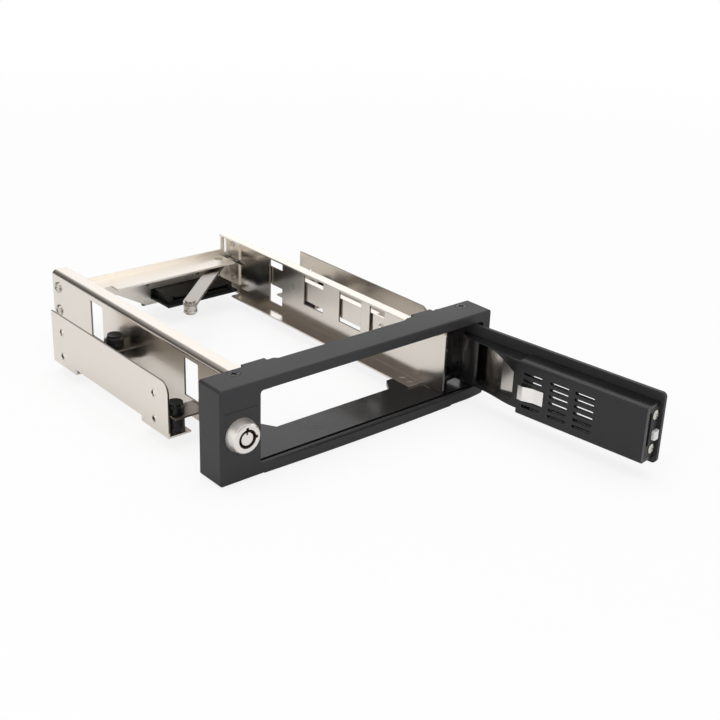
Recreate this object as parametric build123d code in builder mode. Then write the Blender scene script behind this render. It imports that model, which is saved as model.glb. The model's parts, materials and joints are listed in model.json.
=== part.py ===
"""Hot swap drive cage for a 5.25 inch bay, taking one bare 3.5 inch drive.

X is to the right seen from the front, Y runs back into the bay, Z is up.
X = 0 is the middle of the bay, Y = 0 is the back of the bezel's front wall
and Z = 0 is the bezel's lower edge.  The door stands fully open, as it does
when a drive is about to be put in.
"""
import os
from math import asin, atan2, cos, degrees, hypot, radians, sin, sqrt, tan

from build123d import *

os.makedirs("parts", exist_ok=True)

# Bay unit: widths, heights and side holes of the half-height 5.25 inch form
bezel_w = 148.0
bezel_h = 42.0
bezel_overhang = 1.0
unit_w = bezel_w - 2 * bezel_overhang
side_hole_pitch_y = 79.25
side_hole_pitch_z = 11.94
side_hole_first_y = 47.4
side_hole_low_z = 9.9
side_hole_r = 1.25

# Bezel moulding
flange_t = 3.2
bezel_depth = 14.5
bezel_wall = 2.2
bezel_corner_r = 1.2
bezel_edge_r = 0.6
lock_block_w = 19.4
right_strip_w = 4.5
top_strip_h = 4.6
open_left = -bezel_w / 2 + lock_block_w
open_right = bezel_w / 2 - right_strip_w
open_low = 5.0
open_high = bezel_h - top_strip_h
open_corner_r = 1.6
lip_t = 1.7
lip_bow = 0.9
lip_sweep = 1.9
lug_depth = 2.0
lug_w = 11.5
seam_depth = 0.2
seam_w = 0.25

# Clearances
fit = 0.3
slide_fit = 0.2
pin_fit = 0.05

# Steel sheet
rail_t = 0.8
bracket_t = 0.8
cross_t = 1.0
bend_r = 0.6
top_bend_r = 1.6

# Rails
rail_low = 5.0
rail_h = open_high - 1.4 - rail_low
rail_front = 0.2
rail_len = 169.0
rail_left_out = open_left + 0.1
hinge_x = open_right - 14.9
rail_right_out = hinge_x - 4.2
bay_w = rail_right_out - rail_left_out - 2 * rail_t
rail_right_in = rail_right_out - rail_t
left_top_flange = 7.9
left_bottom_flange = 8.6
right_top_flange = 6.9
right_bottom_flange = 8.9
win_low = 8.3
win_mid = 15.8
win_high = rail_low + rail_h - 4.0
win_tail_y = 121.0
win_tail_len = 11.0
win_long_y = 87.5
win_long_len = 15.5
win_next_y = 58.5
win_next_len = 16.5
win_front_y = 41.6
win_front_len = 10.6
win_left_low = 14.2
foot_flange_y = 14.0
foot_screw_y = 16.8
foot_screw_pitch = 5.8
rear_notch_setback = 10.2

# Rear crossmember
cross_low = 6.0
cross_low_left = 15.5
cross_left_x = rail_right_in - 52.6
cross_slope = 17.0
cross_top = rail_low + rail_h - 8.3
shelf_z = rail_low + rail_h - 11.0
shelf_depth = 14.6
shelf_narrow = 9.0
shelf_step_x = rail_right_in - 77.4
shelf_end_gap = 7.0
ear_w = 5.6
ear_top = rail_low + rail_h - 0.8
ear_slot_z = ear_top - 5.2
ear_slot_w = 1.4
side_flange_len = 9.4
side_flange_low = 9.0
side_flange_top = rail_low + rail_h - 3.0
cross_screw_setback = 4.2
cross_screw_low = 16.6
cross_screw_high = rail_low + rail_h - 7.6
cross_screw_right_low = 12.0
cross_screw_right_high = rail_low + rail_h - 5.0

# Side brackets
bracket_front_y = 36.1
bracket_len = 99.4
bracket_low = 7.7
bracket_top = 30.2
bracket_tab_z = 5.1
bracket_tab_len = 21.3
bracket_tab_w = 11.1
bracket_corner_r = 5.0
tab_hole_r = 1.6

# Rubber mounts
grommet_r = 3.9
grommet_neck_r = 2.6
grommet_h = 12.9
grommet_tab_z = 13.0
grommet_x = unit_w / 2 - bracket_t - 5.6
grommet_front_y = 40.7
grommet_rear_y = 121.0
tab_plate_t = 0.8
bumper_x = rail_left_out - 6.0
bumper_y = 99.8
bumper_tab_z = 20.8
bumper_below = 6.3

# Door hinge
hinge_y = 7.1
open_angle = 96.5
hinge_pin_r = 1.5
hinge_pin_len = 7.4
knuckle_r = 3.7
knuckle_h = 3.0

# Door
door_t = 2.2
door_end_gap = 0.3
door_low = open_low + slide_fit
door_high = open_high - fit
door_corner_r = open_corner_r + 0.4
door_neck_low = 7.5
door_neck_end = 31.0
box_inner = 43.9
box_end_gap = 1.7
box_low = 7.8
box_high = open_high - 4.2
neck_low = 10.2
band_from = 10.4
neck_window_u = 17.0
box_back = 8.6
cover_t = 1.6
vent_w = 10.0
vent_h = 1.4
vent_rows = 6
vent_low_z = 12.6
vent_pitch_z = (box_high - vent_low_z - 5.2) / (vent_rows - 1)
vent_short_w = 9.7
panel_vent_h = 1.8
panel_vent_up = 0.6
panel_vent_back = 5.5
panel_vent_w1 = 7.0
band_t = 0.7
band_low = neck_low + cover_t + 0.1
band_high = box_high - cover_t - 0.1

# Crank pin, slider and eject lever
slide_travel = 8.73
crank_closed = -36.5
crank_pin_r = 1.5
slider_gap = 0.4
slider_t = 1.2
slider_high = rail_low + rail_h - 8.5
slider_low = slider_high - 10.0
ledge_w = 3.4
ledge_t = 0.8
ledge_front_y = 50.0
ledge_back_y = 116.0
yoke_z = slider_high - 7.3
yoke_t = 1.6
yoke_reach = hinge_x + 6.6
yoke_wall = 1.8
yoke_play_front = 0.08
yoke_play_rear = 0.62
rivet_r = 1.6
rivet_head_r = 2.9
rivet_head_t = 0.9
lever_x = rail_right_in - 11.6
lever_setback = 5.9
lever_z = slider_low + 3.9
lever_t = 1.4
lever_w = 7.2
lever_len = 57.3
lever_rest = 222.0
short_arm = 13.9
short_rest = 14.0
short_tip_r = 2.4
short_w = 4.0
pivot_r = 2.0
pivot_head_r = 3.2
pivot_head_t = 0.9
roller_r = 3.4
roller_neck_r = 2.6
roller_h = 3.8

# Lock
lock_x = -bezel_w / 2 + lock_block_w / 2
lock_z = bezel_h / 2
lock_collar_r = 7.3
lock_face_r = 6.4
lock_proud = 4.8
barrel_r = 5.6
barrel_len = 7.6
plug_r = 4.0
plug_lip = 0.2
plug_core_r = 2.8
plug_slot_depth = 3.0
key_notch_w = 1.3
key_notch_depth = 2.2
nut_af = 12.4
nut_t = 2.0
cam_y = 4.7
cam_t = 1.2
cam_reach = 14.0
cam_w = 6.0
cam_slot_up = 13.2

# Catch in the free end of the door
catch_plate_t = 0.8
catch_depth = 4.1
catch_z = 19.0
catch_w = 3.4
catch_h = 4.0
catch_stroke = 2.0
catch_screw_z = box_high - 5.0
catch_screw_low_z = 12.8
catch_screw_depth = 5.0
keeper_depth = 8.6

# Board and connectors
board_t = 1.6
board_spacer_t = 1.2
board_h = 14.6
board_z1 = lever_z - 1.8
board_z0 = board_z1 - board_h
board_screw_drop = 2.2
spacer_r = 2.4
recept_x0 = rail_right_in - 49.6
board_x0 = recept_x0 - 4.0
board_x1 = recept_x0 + 31.0
socket_x = recept_x0 + 8.0
socket_z = board_z1 - 6.6
recept_w = 42.8
recept_reach = 16.7
recept_gap = 1.0
recept_base_t = 1.2
recept_h = 5.0
recept_z = board_z1 - board_screw_drop - spacer_r - recept_gap - recept_h

# Derived places shared by several pieces
bezel_front = -flange_t
bezel_back = bezel_front + bezel_depth
rail_top = rail_low + rail_h
rail_left_in = rail_left_out + rail_t
rail_back = rail_front + rail_len
cross_front = rail_back - cross_t
cross_screw_y = cross_front - cross_screw_setback
lever_y = cross_front - lever_setback
board_y = rail_back + board_spacer_t
recept_front_y = cross_front - recept_reach
board_screw_z = board_z1 - board_screw_drop
board_screw_x0 = recept_x0 - 1.8
board_screw_x1 = recept_x0 + recept_w - 14.0
board_screw_r = 1.3
slider_in = rail_right_out + slider_gap
slider_out = slider_in + slider_t
rest_angle = -180.0 + open_angle
crank_rest = crank_closed + open_angle
crank_r = slide_travel / (sin(radians(crank_rest)) - sin(radians(crank_closed)))
crank_x = hinge_x + crank_r * cos(radians(crank_rest))
crank_y = hinge_y + crank_r * sin(radians(crank_rest))
door_outer = hinge_y - bezel_front
door_inner = door_outer - door_t
door_end = hinge_x - open_left - door_end_gap
box_outer = door_end - box_end_gap
box_face = hinge_y - box_back
tail_r = hypot(open_right - hinge_x, hinge_y) - 0.4
door_tail = sqrt(tail_r**2 - door_outer**2)
lever_tip_x = lever_x + short_arm * cos(radians(short_rest))
lever_tip_y = lever_y + short_arm * sin(radians(short_rest))
roller_x = lever_x + lever_len * cos(radians(lever_rest))
roller_y = lever_y + lever_len * sin(radians(lever_rest))
frame_plate_t = 2.4
frame_low = rail_low - frame_plate_t
frame_high = open_high + frame_plate_t
frame_wall = 2.2
frame_wall_x = open_left - frame_wall
plate_left = -bezel_w / 2 + 11.0
plate_right = open_right - 0.5
case_left = -bezel_w / 2 + bezel_wall
case_right = bezel_w / 2 - bezel_wall
screw_left_x = -bezel_w / 2 + 14.4
screw_right_x = bezel_w / 2 - 8.3
screw_y = 7.9
screw_r = 1.4
screw_head_r = 2.7
screw_head_t = 1.2
bracket_out = unit_w / 2
bracket_in = bracket_out - bracket_t
bracket_back = bracket_front_y + bracket_len

# Working planes of the door, with the hinge axis as their origin
door_ax = (cos(radians(rest_angle)), sin(radians(rest_angle)), 0)
door_in = (sin(radians(rest_angle)), -cos(radians(rest_angle)), 0)
hinge_at = (hinge_x, hinge_y, 0)
door_plan = Plane(origin=hinge_at, x_dir=door_ax, z_dir=(0, 0, 1))
door_face = Plane(origin=hinge_at, x_dir=door_ax, z_dir=door_in)
door_end_plane = Plane(origin=hinge_at, x_dir=(-door_in[0], -door_in[1], 0), z_dir=door_ax)
crank_local = radians(crank_rest - rest_angle)
crank_u = crank_r * cos(crank_local)
crank_v = crank_r * sin(crank_local)

lug_left_x = -bezel_w / 2 + 27.25
lug_right_x = bezel_w / 2 - 28.5
lip_end_x = hinge_x - 2.6

# Bezel shell: a front wall with a frame behind it, open to the back
with BuildPart() as bezel_shell:
    with BuildSketch(Plane.XZ.offset(flange_t)):
        with Locations((0, bezel_h / 2)):
            RectangleRounded(bezel_w, bezel_h, bezel_corner_r)
    extrude(amount=-bezel_depth)
    fillet(bezel_shell.faces().sort_by(Axis.Y)[0].edges(), bezel_edge_r)
    with BuildSketch(Plane.XZ):
        with Locations(((case_left + case_right) / 2, bezel_h / 2)):
            Rectangle(case_right - case_left, bezel_h - 2 * bezel_wall)
    extrude(amount=-(bezel_back + lug_depth), mode=Mode.SUBTRACT)
    # the mouth for the drive
    with BuildSketch(Plane.XZ.offset(flange_t)):
        with Locations(((open_left + open_right) / 2, (open_low + open_high) / 2)):
            RectangleRounded(open_right - open_left, open_high - open_low, open_corner_r)
    extrude(amount=-flange_t, mode=Mode.SUBTRACT)
    # two lugs on the rear edge of the top wall, and the shallow dip between them
    with BuildSketch(Plane.XY.offset(bezel_h - bezel_wall)):
        with Locations((lug_left_x, bezel_back + lug_depth / 2), (lug_right_x, bezel_back + lug_depth / 2)):
            Rectangle(lug_w, lug_depth)
    extrude(amount=bezel_wall)
    with BuildSketch(Plane.XY.offset(bezel_h - bezel_wall)):
        with BuildLine():
            Polyline(
                (lug_left_x + 6.25, bezel_back + lug_depth),
                (lug_left_x + 10.75, bezel_back - 1.3),
                (lug_right_x - 12.5, bezel_back - 1.3),
                (lug_right_x - 6.5, bezel_back + lug_depth),
                close=True,
            )
        make_face()
    extrude(amount=bezel_wall, mode=Mode.SUBTRACT)
    # the lower lip bows forward a little and sweeps back at the hinge end
    with BuildSketch(Plane.XY):
        with BuildLine():
            lip_arc = ThreePointArc(
                (open_left + 2, bezel_front),
                ((open_left + 2 + lip_end_x) / 2, bezel_front - lip_bow),
                (lip_end_x, bezel_front - 0.2),
            )
            Line(lip_arc @ 1, (lip_end_x, bezel_front + lip_t))
            Line((lip_end_x, bezel_front + lip_t), (open_left + 2, bezel_front + lip_t))
            Line((open_left + 2, bezel_front + lip_t), lip_arc @ 0)
        make_face()
    extrude(amount=open_low - 0.8)
    with BuildSketch(Plane.XY.offset(-1)):
        with BuildLine():
            sweep_arc = ThreePointArc(
                (lip_end_x, bezel_front - 0.25),
                (lip_end_x + 11, bezel_front + 0.35),
                (bezel_w / 2 + 1, bezel_front + lip_sweep),
            )
            Line(sweep_arc @ 1, (bezel_w / 2 + 1, bezel_front - 2))
            Line((bezel_w / 2 + 1, bezel_front - 2), (lip_end_x, bezel_front - 2))
            Line((lip_end_x, bezel_front - 2), sweep_arc @ 0)
        make_face()
    extrude(amount=open_low + 1, mode=Mode.SUBTRACT)
    # groove behind the lip
    with BuildSketch(Plane.XY.offset(open_low)):
        with Locations(((open_left + open_right) / 2, -(flange_t - lip_t) / 2)):
            Rectangle(open_right - open_left, flange_t - lip_t)
    extrude(amount=-(open_low - bezel_wall), mode=Mode.SUBTRACT)
    # fine seam along the left block
    with BuildSketch(Plane.XZ.offset(flange_t)):
        with Locations(((open_left - bezel_w / 2) / 2, lock_z + 10.6)):
            Rectangle(lock_block_w - 3.0, seam_w)
    extrude(amount=-seam_depth, mode=Mode.SUBTRACT)
    # lock hole
    with BuildSketch(Plane.XZ.offset(flange_t)):
        with Locations((lock_x, lock_z)):
            Circle(barrel_r + slide_fit)
    extrude(amount=-flange_t, mode=Mode.SUBTRACT)
    # screw holes in the top and bottom walls, with sunk seats for the heads
    with BuildSketch(Plane.XY.offset(bezel_h)):
        with Locations((screw_left_x, screw_y), (screw_right_x, screw_y)):
            Circle(screw_r + slide_fit)
    extrude(amount=-bezel_h, mode=Mode.SUBTRACT)
    with BuildSketch(Plane.XY.offset(bezel_h)):
        with Locations((screw_left_x, screw_y), (screw_right_x, screw_y)):
            Circle(screw_head_r + slide_fit)
    extrude(amount=-screw_head_t, mode=Mode.SUBTRACT)
    with BuildSketch(Plane.XY):
        with Locations((screw_left_x, screw_y), (screw_right_x, screw_y)):
            Circle(screw_head_r + slide_fit)
    extrude(amount=screw_head_t, mode=Mode.SUBTRACT)
bezel_shell.part.label = "bezel_shell"
export_step(bezel_shell.part, "parts/bezel_shell.step")

# Inner frame: the moulding that carries the rails, the door and the bezel
frame_back_mid = 19.0
frame_back_lug = 26.5
with BuildPart() as inner_frame:
    with BuildSketch(Plane.XY.offset(frame_low)):
        with BuildLine():
            Polyline(
                (frame_wall_x, 0),
                (plate_right, 0),
                (plate_right, bezel_back),
                (hinge_x - 0.6, bezel_back + 3),
                (hinge_x - 2.1, frame_back_lug),
                (hinge_x - 15.6, frame_back_lug),
                (hinge_x - 20.6, frame_back_mid),
                (frame_wall_x + 26.8, frame_back_mid),
                (frame_wall_x + 22.8, frame_back_lug - 1),
                (frame_wall_x + 1.8, frame_back_lug - 1),
                (frame_wall_x, bezel_back),
                close=True,
            )
        make_face()
    extrude(amount=frame_plate_t)
    # short upper plate, left wall and the ears that the bezel screws bite into
    with BuildSketch(Plane.XY.offset(open_high)):
        with Locations(((frame_wall_x + plate_right) / 2, bezel_back / 2)):
            Rectangle(plate_right - frame_wall_x, bezel_back - 1.5)
    extrude(amount=frame_plate_t)
    with BuildSketch(Plane.XY.offset(frame_low)):
        with Locations((open_left - frame_wall / 2, bezel_back / 2)):
            Rectangle(frame_wall, bezel_back)
    extrude(amount=frame_high - frame_low)
    for ear_z in (frame_low, open_high):
        with BuildSketch(Plane.XY.offset(ear_z)):
            with Locations(((plate_left + frame_wall_x) / 2, screw_y)):
                Rectangle(frame_wall_x - plate_left, 6.4)
        extrude(amount=frame_plate_t)
    # pads that hold the rails' upper flanges down
    with BuildSketch(Plane.XY.offset(rail_top)):
        with Locations((rail_left_out + 4, 5.6), (rail_right_out - 4, 5.6)):
            Rectangle(6, 6)
    extrude(amount=open_high - rail_top)
    # bosses for the two hinge pins
    with BuildSketch(Plane.XY.offset(rail_low)):
        with Locations((hinge_x, hinge_y)):
            Circle(knuckle_r - 0.5)
    extrude(amount=3.1)
    with BuildSketch(Plane.XY.offset(open_high)):
        with Locations((hinge_x, hinge_y)):
            Circle(knuckle_r - 0.5)
    extrude(amount=-2.7)
    # hinge pin holes, blind from the knuckle side
    with BuildSketch(Plane.XY.offset(rail_low + 3.1)):
        with Locations((hinge_x, hinge_y)):
            Circle(hinge_pin_r)
    extrude(amount=-4.4, mode=Mode.SUBTRACT)
    with BuildSketch(Plane.XY.offset(open_high - 2.7)):
        with Locations((hinge_x, hinge_y)):
            Circle(hinge_pin_r)
    extrude(amount=4.4, mode=Mode.SUBTRACT)
    # window for the lock's cam
    with BuildSketch(Plane.YZ.offset(frame_wall_x)):
        with Locations((cam_y + cam_t / 2, lock_z + (cam_slot_up - cam_w / 2) / 2)):
            Rectangle(cam_t + 1.2, cam_slot_up + cam_w / 2 + 1.0)
    extrude(amount=frame_wall, mode=Mode.SUBTRACT)
    # bezel screws bite into the ears, rail screws come up through the lower plate
    with BuildSketch(Plane.XY.offset(frame_low)):
        with Locations((screw_left_x, screw_y), (screw_right_x, screw_y)):
            Circle(screw_r)
    extrude(amount=frame_high - frame_low, mode=Mode.SUBTRACT)
    with BuildSketch(Plane.XY.offset(frame_low)):
        with Locations(
            (rail_left_out + 5, foot_screw_y),
            (rail_left_out + 5, foot_screw_y + foot_screw_pitch),
            (rail_right_out - 5, foot_screw_y),
            (rail_right_out - 5, foot_screw_y + foot_screw_pitch),
        ):
            Circle(screw_r + slide_fit)
    extrude(amount=frame_plate_t, mode=Mode.SUBTRACT)
inner_frame.part.label = "inner_frame"
export_step(inner_frame.part, "parts/inner_frame.step")

# Bezel screws, two from above and two from below
with BuildPart() as bezel_screws:
    with BuildSketch(Plane.XY.offset(bezel_h - screw_head_t)):
        with Locations((screw_left_x, screw_y), (screw_right_x, screw_y)):
            Circle(screw_head_r)
    extrude(amount=screw_head_t)
    with BuildSketch(Plane.XY.offset(bezel_h - screw_head_t)):
        with Locations((screw_left_x, screw_y), (screw_right_x, screw_y)):
            Circle(screw_r)
    extrude(amount=-(bezel_h - screw_head_t - open_high))
    with BuildSketch(Plane.XY):
        with Locations((screw_left_x, screw_y), (screw_right_x, screw_y)):
            Circle(screw_head_r)
    extrude(amount=screw_head_t)
    with BuildSketch(Plane.XY.offset(screw_head_t)):
        with Locations((screw_left_x, screw_y), (screw_right_x, screw_y)):
            Circle(screw_r)
    extrude(amount=frame_low + frame_plate_t - screw_head_t)
    # cross recesses
    for recess_z, recess_cut in ((bezel_h, -0.7), (0.0, 0.7)):
        with BuildSketch(Plane.XY.offset(recess_z)):
            with Locations((screw_left_x, screw_y), (screw_right_x, screw_y)):
                Rectangle(3.0, 0.7)
                Rectangle(0.7, 3.0)
        extrude(amount=recess_cut, mode=Mode.SUBTRACT)
bezel_screws.part.label = "bezel_screws"
export_step(bezel_screws.part, "parts/bezel_screws.step")

# Left rail: a folded channel, open towards the drive
rail_screw_r = screw_r
with BuildPart() as rail_left:
    with BuildSketch(Plane.XZ.offset(-rail_front)):
        with BuildLine():
            Polyline(
                (rail_left_out + left_top_flange, rail_top),
                (rail_left_out, rail_top),
                (rail_left_out, rail_low),
                (rail_left_out + left_bottom_flange, rail_low),
                (rail_left_out + left_bottom_flange, rail_low + rail_t),
                (rail_left_in, rail_low + rail_t),
                (rail_left_in, rail_top - rail_t),
                (rail_left_out + left_top_flange, rail_top - rail_t),
                close=True,
            )
        make_face()
    extrude(amount=-rail_len)
    fillet(
        rail_left.edges().filter_by(Axis.Y).filter_by_position(
            Axis.X, rail_left_out - 0.01, rail_left_out + 0.01).group_by(Axis.Z)[0],
        bend_r + rail_t,
    )
    fillet(
        rail_left.edges().filter_by(Axis.Y).filter_by_position(
            Axis.X, rail_left_out - 0.01, rail_left_out + 0.01).group_by(Axis.Z)[-1],
        top_bend_r + rail_t,
    )
    fillet(
        rail_left.edges().filter_by(Axis.Y).filter_by_position(
            Axis.X, rail_left_in - 0.01, rail_left_in + 0.01).group_by(Axis.Z)[-1],
        top_bend_r,
    )
    # the lower flange starts behind the door's swing
    with BuildSketch(Plane.XY.offset(rail_low)):
        with Locations((rail_left_in + left_bottom_flange / 2, foot_flange_y / 2)):
            Rectangle(left_bottom_flange, foot_flange_y)
    extrude(amount=rail_t, mode=Mode.SUBTRACT)
    # two tall windows
    with BuildSketch(Plane.YZ.offset(rail_left_out)):
        with Locations((win_tail_y + win_tail_len / 2, (win_left_low + win_high) / 2)):
            Rectangle(win_tail_len, win_high - win_left_low)
        with Locations((win_front_y + win_front_len / 2, (win_left_low + win_high) / 2)):
            Rectangle(win_front_len, win_high - win_left_low)
    extrude(amount=rail_t, mode=Mode.SUBTRACT)
    # notch for the door catch and window for the lock's cam
    with BuildSketch(Plane.YZ.offset(rail_left_out)):
        with Locations(((rail_front + 3.4) / 2, catch_z)):
            Rectangle(3.4 - rail_front, catch_h + 1.2)
        with Locations((cam_y + cam_t / 2, lock_z + (cam_slot_up - 1.8 - cam_w / 2) / 2)):
            Rectangle(cam_t + 1.2, cam_slot_up - 1.8 + cam_w / 2 + 1.0)
    extrude(amount=rail_t, mode=Mode.SUBTRACT)
    # tabs folded out of the wall, each with a slot for a rubber mount's neck
    for tab_y in (grommet_front_y, grommet_rear_y):
        with BuildSketch(Plane.XY.offset(grommet_tab_z)):
            with BuildLine():
                Polyline(
                    (rail_left_out, tab_y - 5.5),
                    (-grommet_x - 3.4, tab_y - 5.5),
                    (-grommet_x - 3.4, tab_y + 5.5),
                    (rail_left_out, tab_y + 5.5),
                    close=True,
                )
            make_face()
            with Locations((-grommet_x, tab_y)):
                Circle(grommet_neck_r + slide_fit, mode=Mode.SUBTRACT)
        extrude(amount=tab_plate_t)
    # one more tab, higher up, for the bumper
    with BuildSketch(Plane.XY.offset(bumper_tab_z)):
        with BuildLine():
            Polyline(
                (rail_left_out, bumper_y - 5.5),
                (bumper_x - 3.0, bumper_y - 5.5),
                (bumper_x - 3.0, bumper_y + 5.5),
                (rail_left_out, bumper_y + 5.5),
                close=True,
            )
        make_face()
        with Locations((bumper_x, bumper_y)):
            Circle(grommet_neck_r + slide_fit, mode=Mode.SUBTRACT)
    extrude(amount=tab_plate_t)
    # screw holes: two in the foot, two at the crossmember
    with BuildSketch(Plane.XY.offset(rail_low)):
        with Locations(
            (rail_left_out + 5, foot_screw_y),
            (rail_left_out + 5, foot_screw_y + foot_screw_pitch),
        ):
            Circle(screw_r)
    extrude(amount=rail_t, mode=Mode.SUBTRACT)
    with BuildSketch(Plane.YZ.offset(rail_left_out)):
        with Locations((cross_screw_y, cross_screw_low), (cross_screw_y, cross_screw_high)):
            Circle(screw_r + slide_fit)
    extrude(amount=rail_t, mode=Mode.SUBTRACT)
rail_left.part.label = "rail_left"
export_step(rail_left.part, "parts/rail_left.step")

# Right rail: the same channel turned round, with the slider on its outside
slot_low = lever_z - 0.8
slot_high = lever_z + lever_t + 0.4
slot_front_y = lever_tip_y - slide_travel - short_tip_r - 0.4
slot_back_y = lever_tip_y + short_tip_r
guide_y1 = 36.0
guide_y3 = cross_front - 26.2
guide_y2 = guide_y3 - 30.0
with BuildPart() as rail_right:
    with BuildSketch(Plane.XZ.offset(-rail_front)):
        with BuildLine():
            Polyline(
                (rail_right_out - right_top_flange, rail_top),
                (rail_right_out, rail_top),
                (rail_right_out, rail_low),
                (rail_right_out - right_bottom_flange, rail_low),
                (rail_right_out - right_bottom_flange, rail_low + rail_t),
                (rail_right_in, rail_low + rail_t),
                (rail_right_in, rail_top - rail_t),
                (rail_right_out - right_top_flange, rail_top - rail_t),
                close=True,
            )
        make_face()
    extrude(amount=-rail_len)
    fillet(
        rail_right.edges().filter_by(Axis.Y).filter_by_position(
            Axis.X, rail_right_out - 0.01, rail_right_out + 0.01).group_by(Axis.Z)[0],
        bend_r + rail_t,
    )
    fillet(
        rail_right.edges().filter_by(Axis.Y).filter_by_position(
            Axis.X, rail_right_out - 0.01, rail_right_out + 0.01).group_by(Axis.Z)[-1],
        top_bend_r + rail_t,
    )
    fillet(
        rail_right.edges().filter_by(Axis.Y).filter_by_position(
            Axis.X, rail_right_in - 0.01, rail_right_in + 0.01).group_by(Axis.Z)[-1],
        top_bend_r,
    )
    with BuildSketch(Plane.XY.offset(rail_low)):
        with Locations((rail_right_in - right_bottom_flange / 2, foot_flange_y / 2)):
            Rectangle(right_bottom_flange, foot_flange_y)
    extrude(amount=rail_t, mode=Mode.SUBTRACT)
    with BuildSketch(Plane.YZ.offset(rail_right_in)):
        with Locations((win_tail_y + win_tail_len / 2, (win_low + win_high) / 2)):
            Rectangle(win_tail_len, win_high - win_low)
        with Locations((win_long_y + win_long_len / 2, (win_mid + win_high) / 2)):
            Rectangle(win_long_len, win_high - win_mid)
        with Locations((win_next_y + win_next_len / 2, (win_mid + win_high) / 2)):
            Rectangle(win_next_len, win_high - win_mid)
        with Locations((win_front_y + win_front_len / 2, (win_left_low + win_high) / 2)):
            Rectangle(win_front_len, win_high - win_left_low)
        # slot that the lever's short arm passes through
        with Locations(((slot_front_y + slot_back_y) / 2, (slot_low + slot_high) / 2)):
            Rectangle(slot_back_y - slot_front_y, slot_high - slot_low)
        # holes for the slider's guide rivets
        with Locations(
            (guide_y1, (slider_low + slider_high) / 2),
            (guide_y2, (slider_low + slider_high) / 2),
            (guide_y3, (slider_low + slider_high) / 2),
        ):
            Circle(rivet_r)
        # crossmember screws
        with Locations((cross_screw_y, cross_screw_right_low), (cross_screw_y, cross_screw_right_high)):
            Circle(screw_r + slide_fit)
    extrude(amount=rail_t, mode=Mode.SUBTRACT)
    # notch at the rear of the lower flange
    with BuildSketch(Plane.XY.offset(rail_low)):
        with Locations((rail_right_out - right_bottom_flange / 2 - 2, cross_front - rear_notch_setback)):
            Rectangle(right_bottom_flange - 2.4, 6)
    extrude(amount=rail_t, mode=Mode.SUBTRACT)
    for tab_y in (grommet_front_y, grommet_rear_y):
        with BuildSketch(Plane.XY.offset(grommet_tab_z)):
            with BuildLine():
                Polyline(
                    (rail_right_out, tab_y - 5.5),
                    (grommet_x + 3.4, tab_y - 5.5),
                    (grommet_x + 3.4, tab_y + 5.5),
                    (rail_right_out, tab_y + 5.5),
                    close=True,
                )
            make_face()
            with Locations((grommet_x, tab_y)):
                Circle(grommet_neck_r + slide_fit, mode=Mode.SUBTRACT)
        extrude(amount=tab_plate_t)
    with BuildSketch(Plane.XY.offset(rail_low)):
        with Locations(
            (rail_right_out - 5, foot_screw_y),
            (rail_right_out - 5, foot_screw_y + foot_screw_pitch),
        ):
            Circle(screw_r)
    extrude(amount=rail_t, mode=Mode.SUBTRACT)
rail_right.part.label = "rail_right"
export_step(rail_right.part, "parts/rail_right.step")

# Screws that hold the rails' feet to the inner frame, heads below
foot_head_t = 1.1
with BuildPart() as foot_screws:
    with BuildSketch(Plane.XY.offset(frame_low)):
        with Locations(
            (rail_left_out + 5, foot_screw_y + foot_screw_pitch),
            (rail_right_out - 5, foot_screw_y + foot_screw_pitch),
            (rail_left_out + 5, foot_screw_y),
            (rail_right_out - 5, foot_screw_y),
        ):
            Circle(screw_head_r - 0.3)
    extrude(amount=-(frame_low - bezel_wall) + 0.0)
    with BuildSketch(Plane.XY.offset(frame_low)):
        with Locations(
            (rail_left_out + 5, foot_screw_y + foot_screw_pitch),
            (rail_right_out - 5, foot_screw_y + foot_screw_pitch),
            (rail_left_out + 5, foot_screw_y),
            (rail_right_out - 5, foot_screw_y),
        ):
            Circle(screw_r)
    extrude(amount=rail_low + rail_t - frame_low)
foot_screws.part.label = "foot_screws"
export_step(foot_screws.part, "parts/foot_screws.step")

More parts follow.
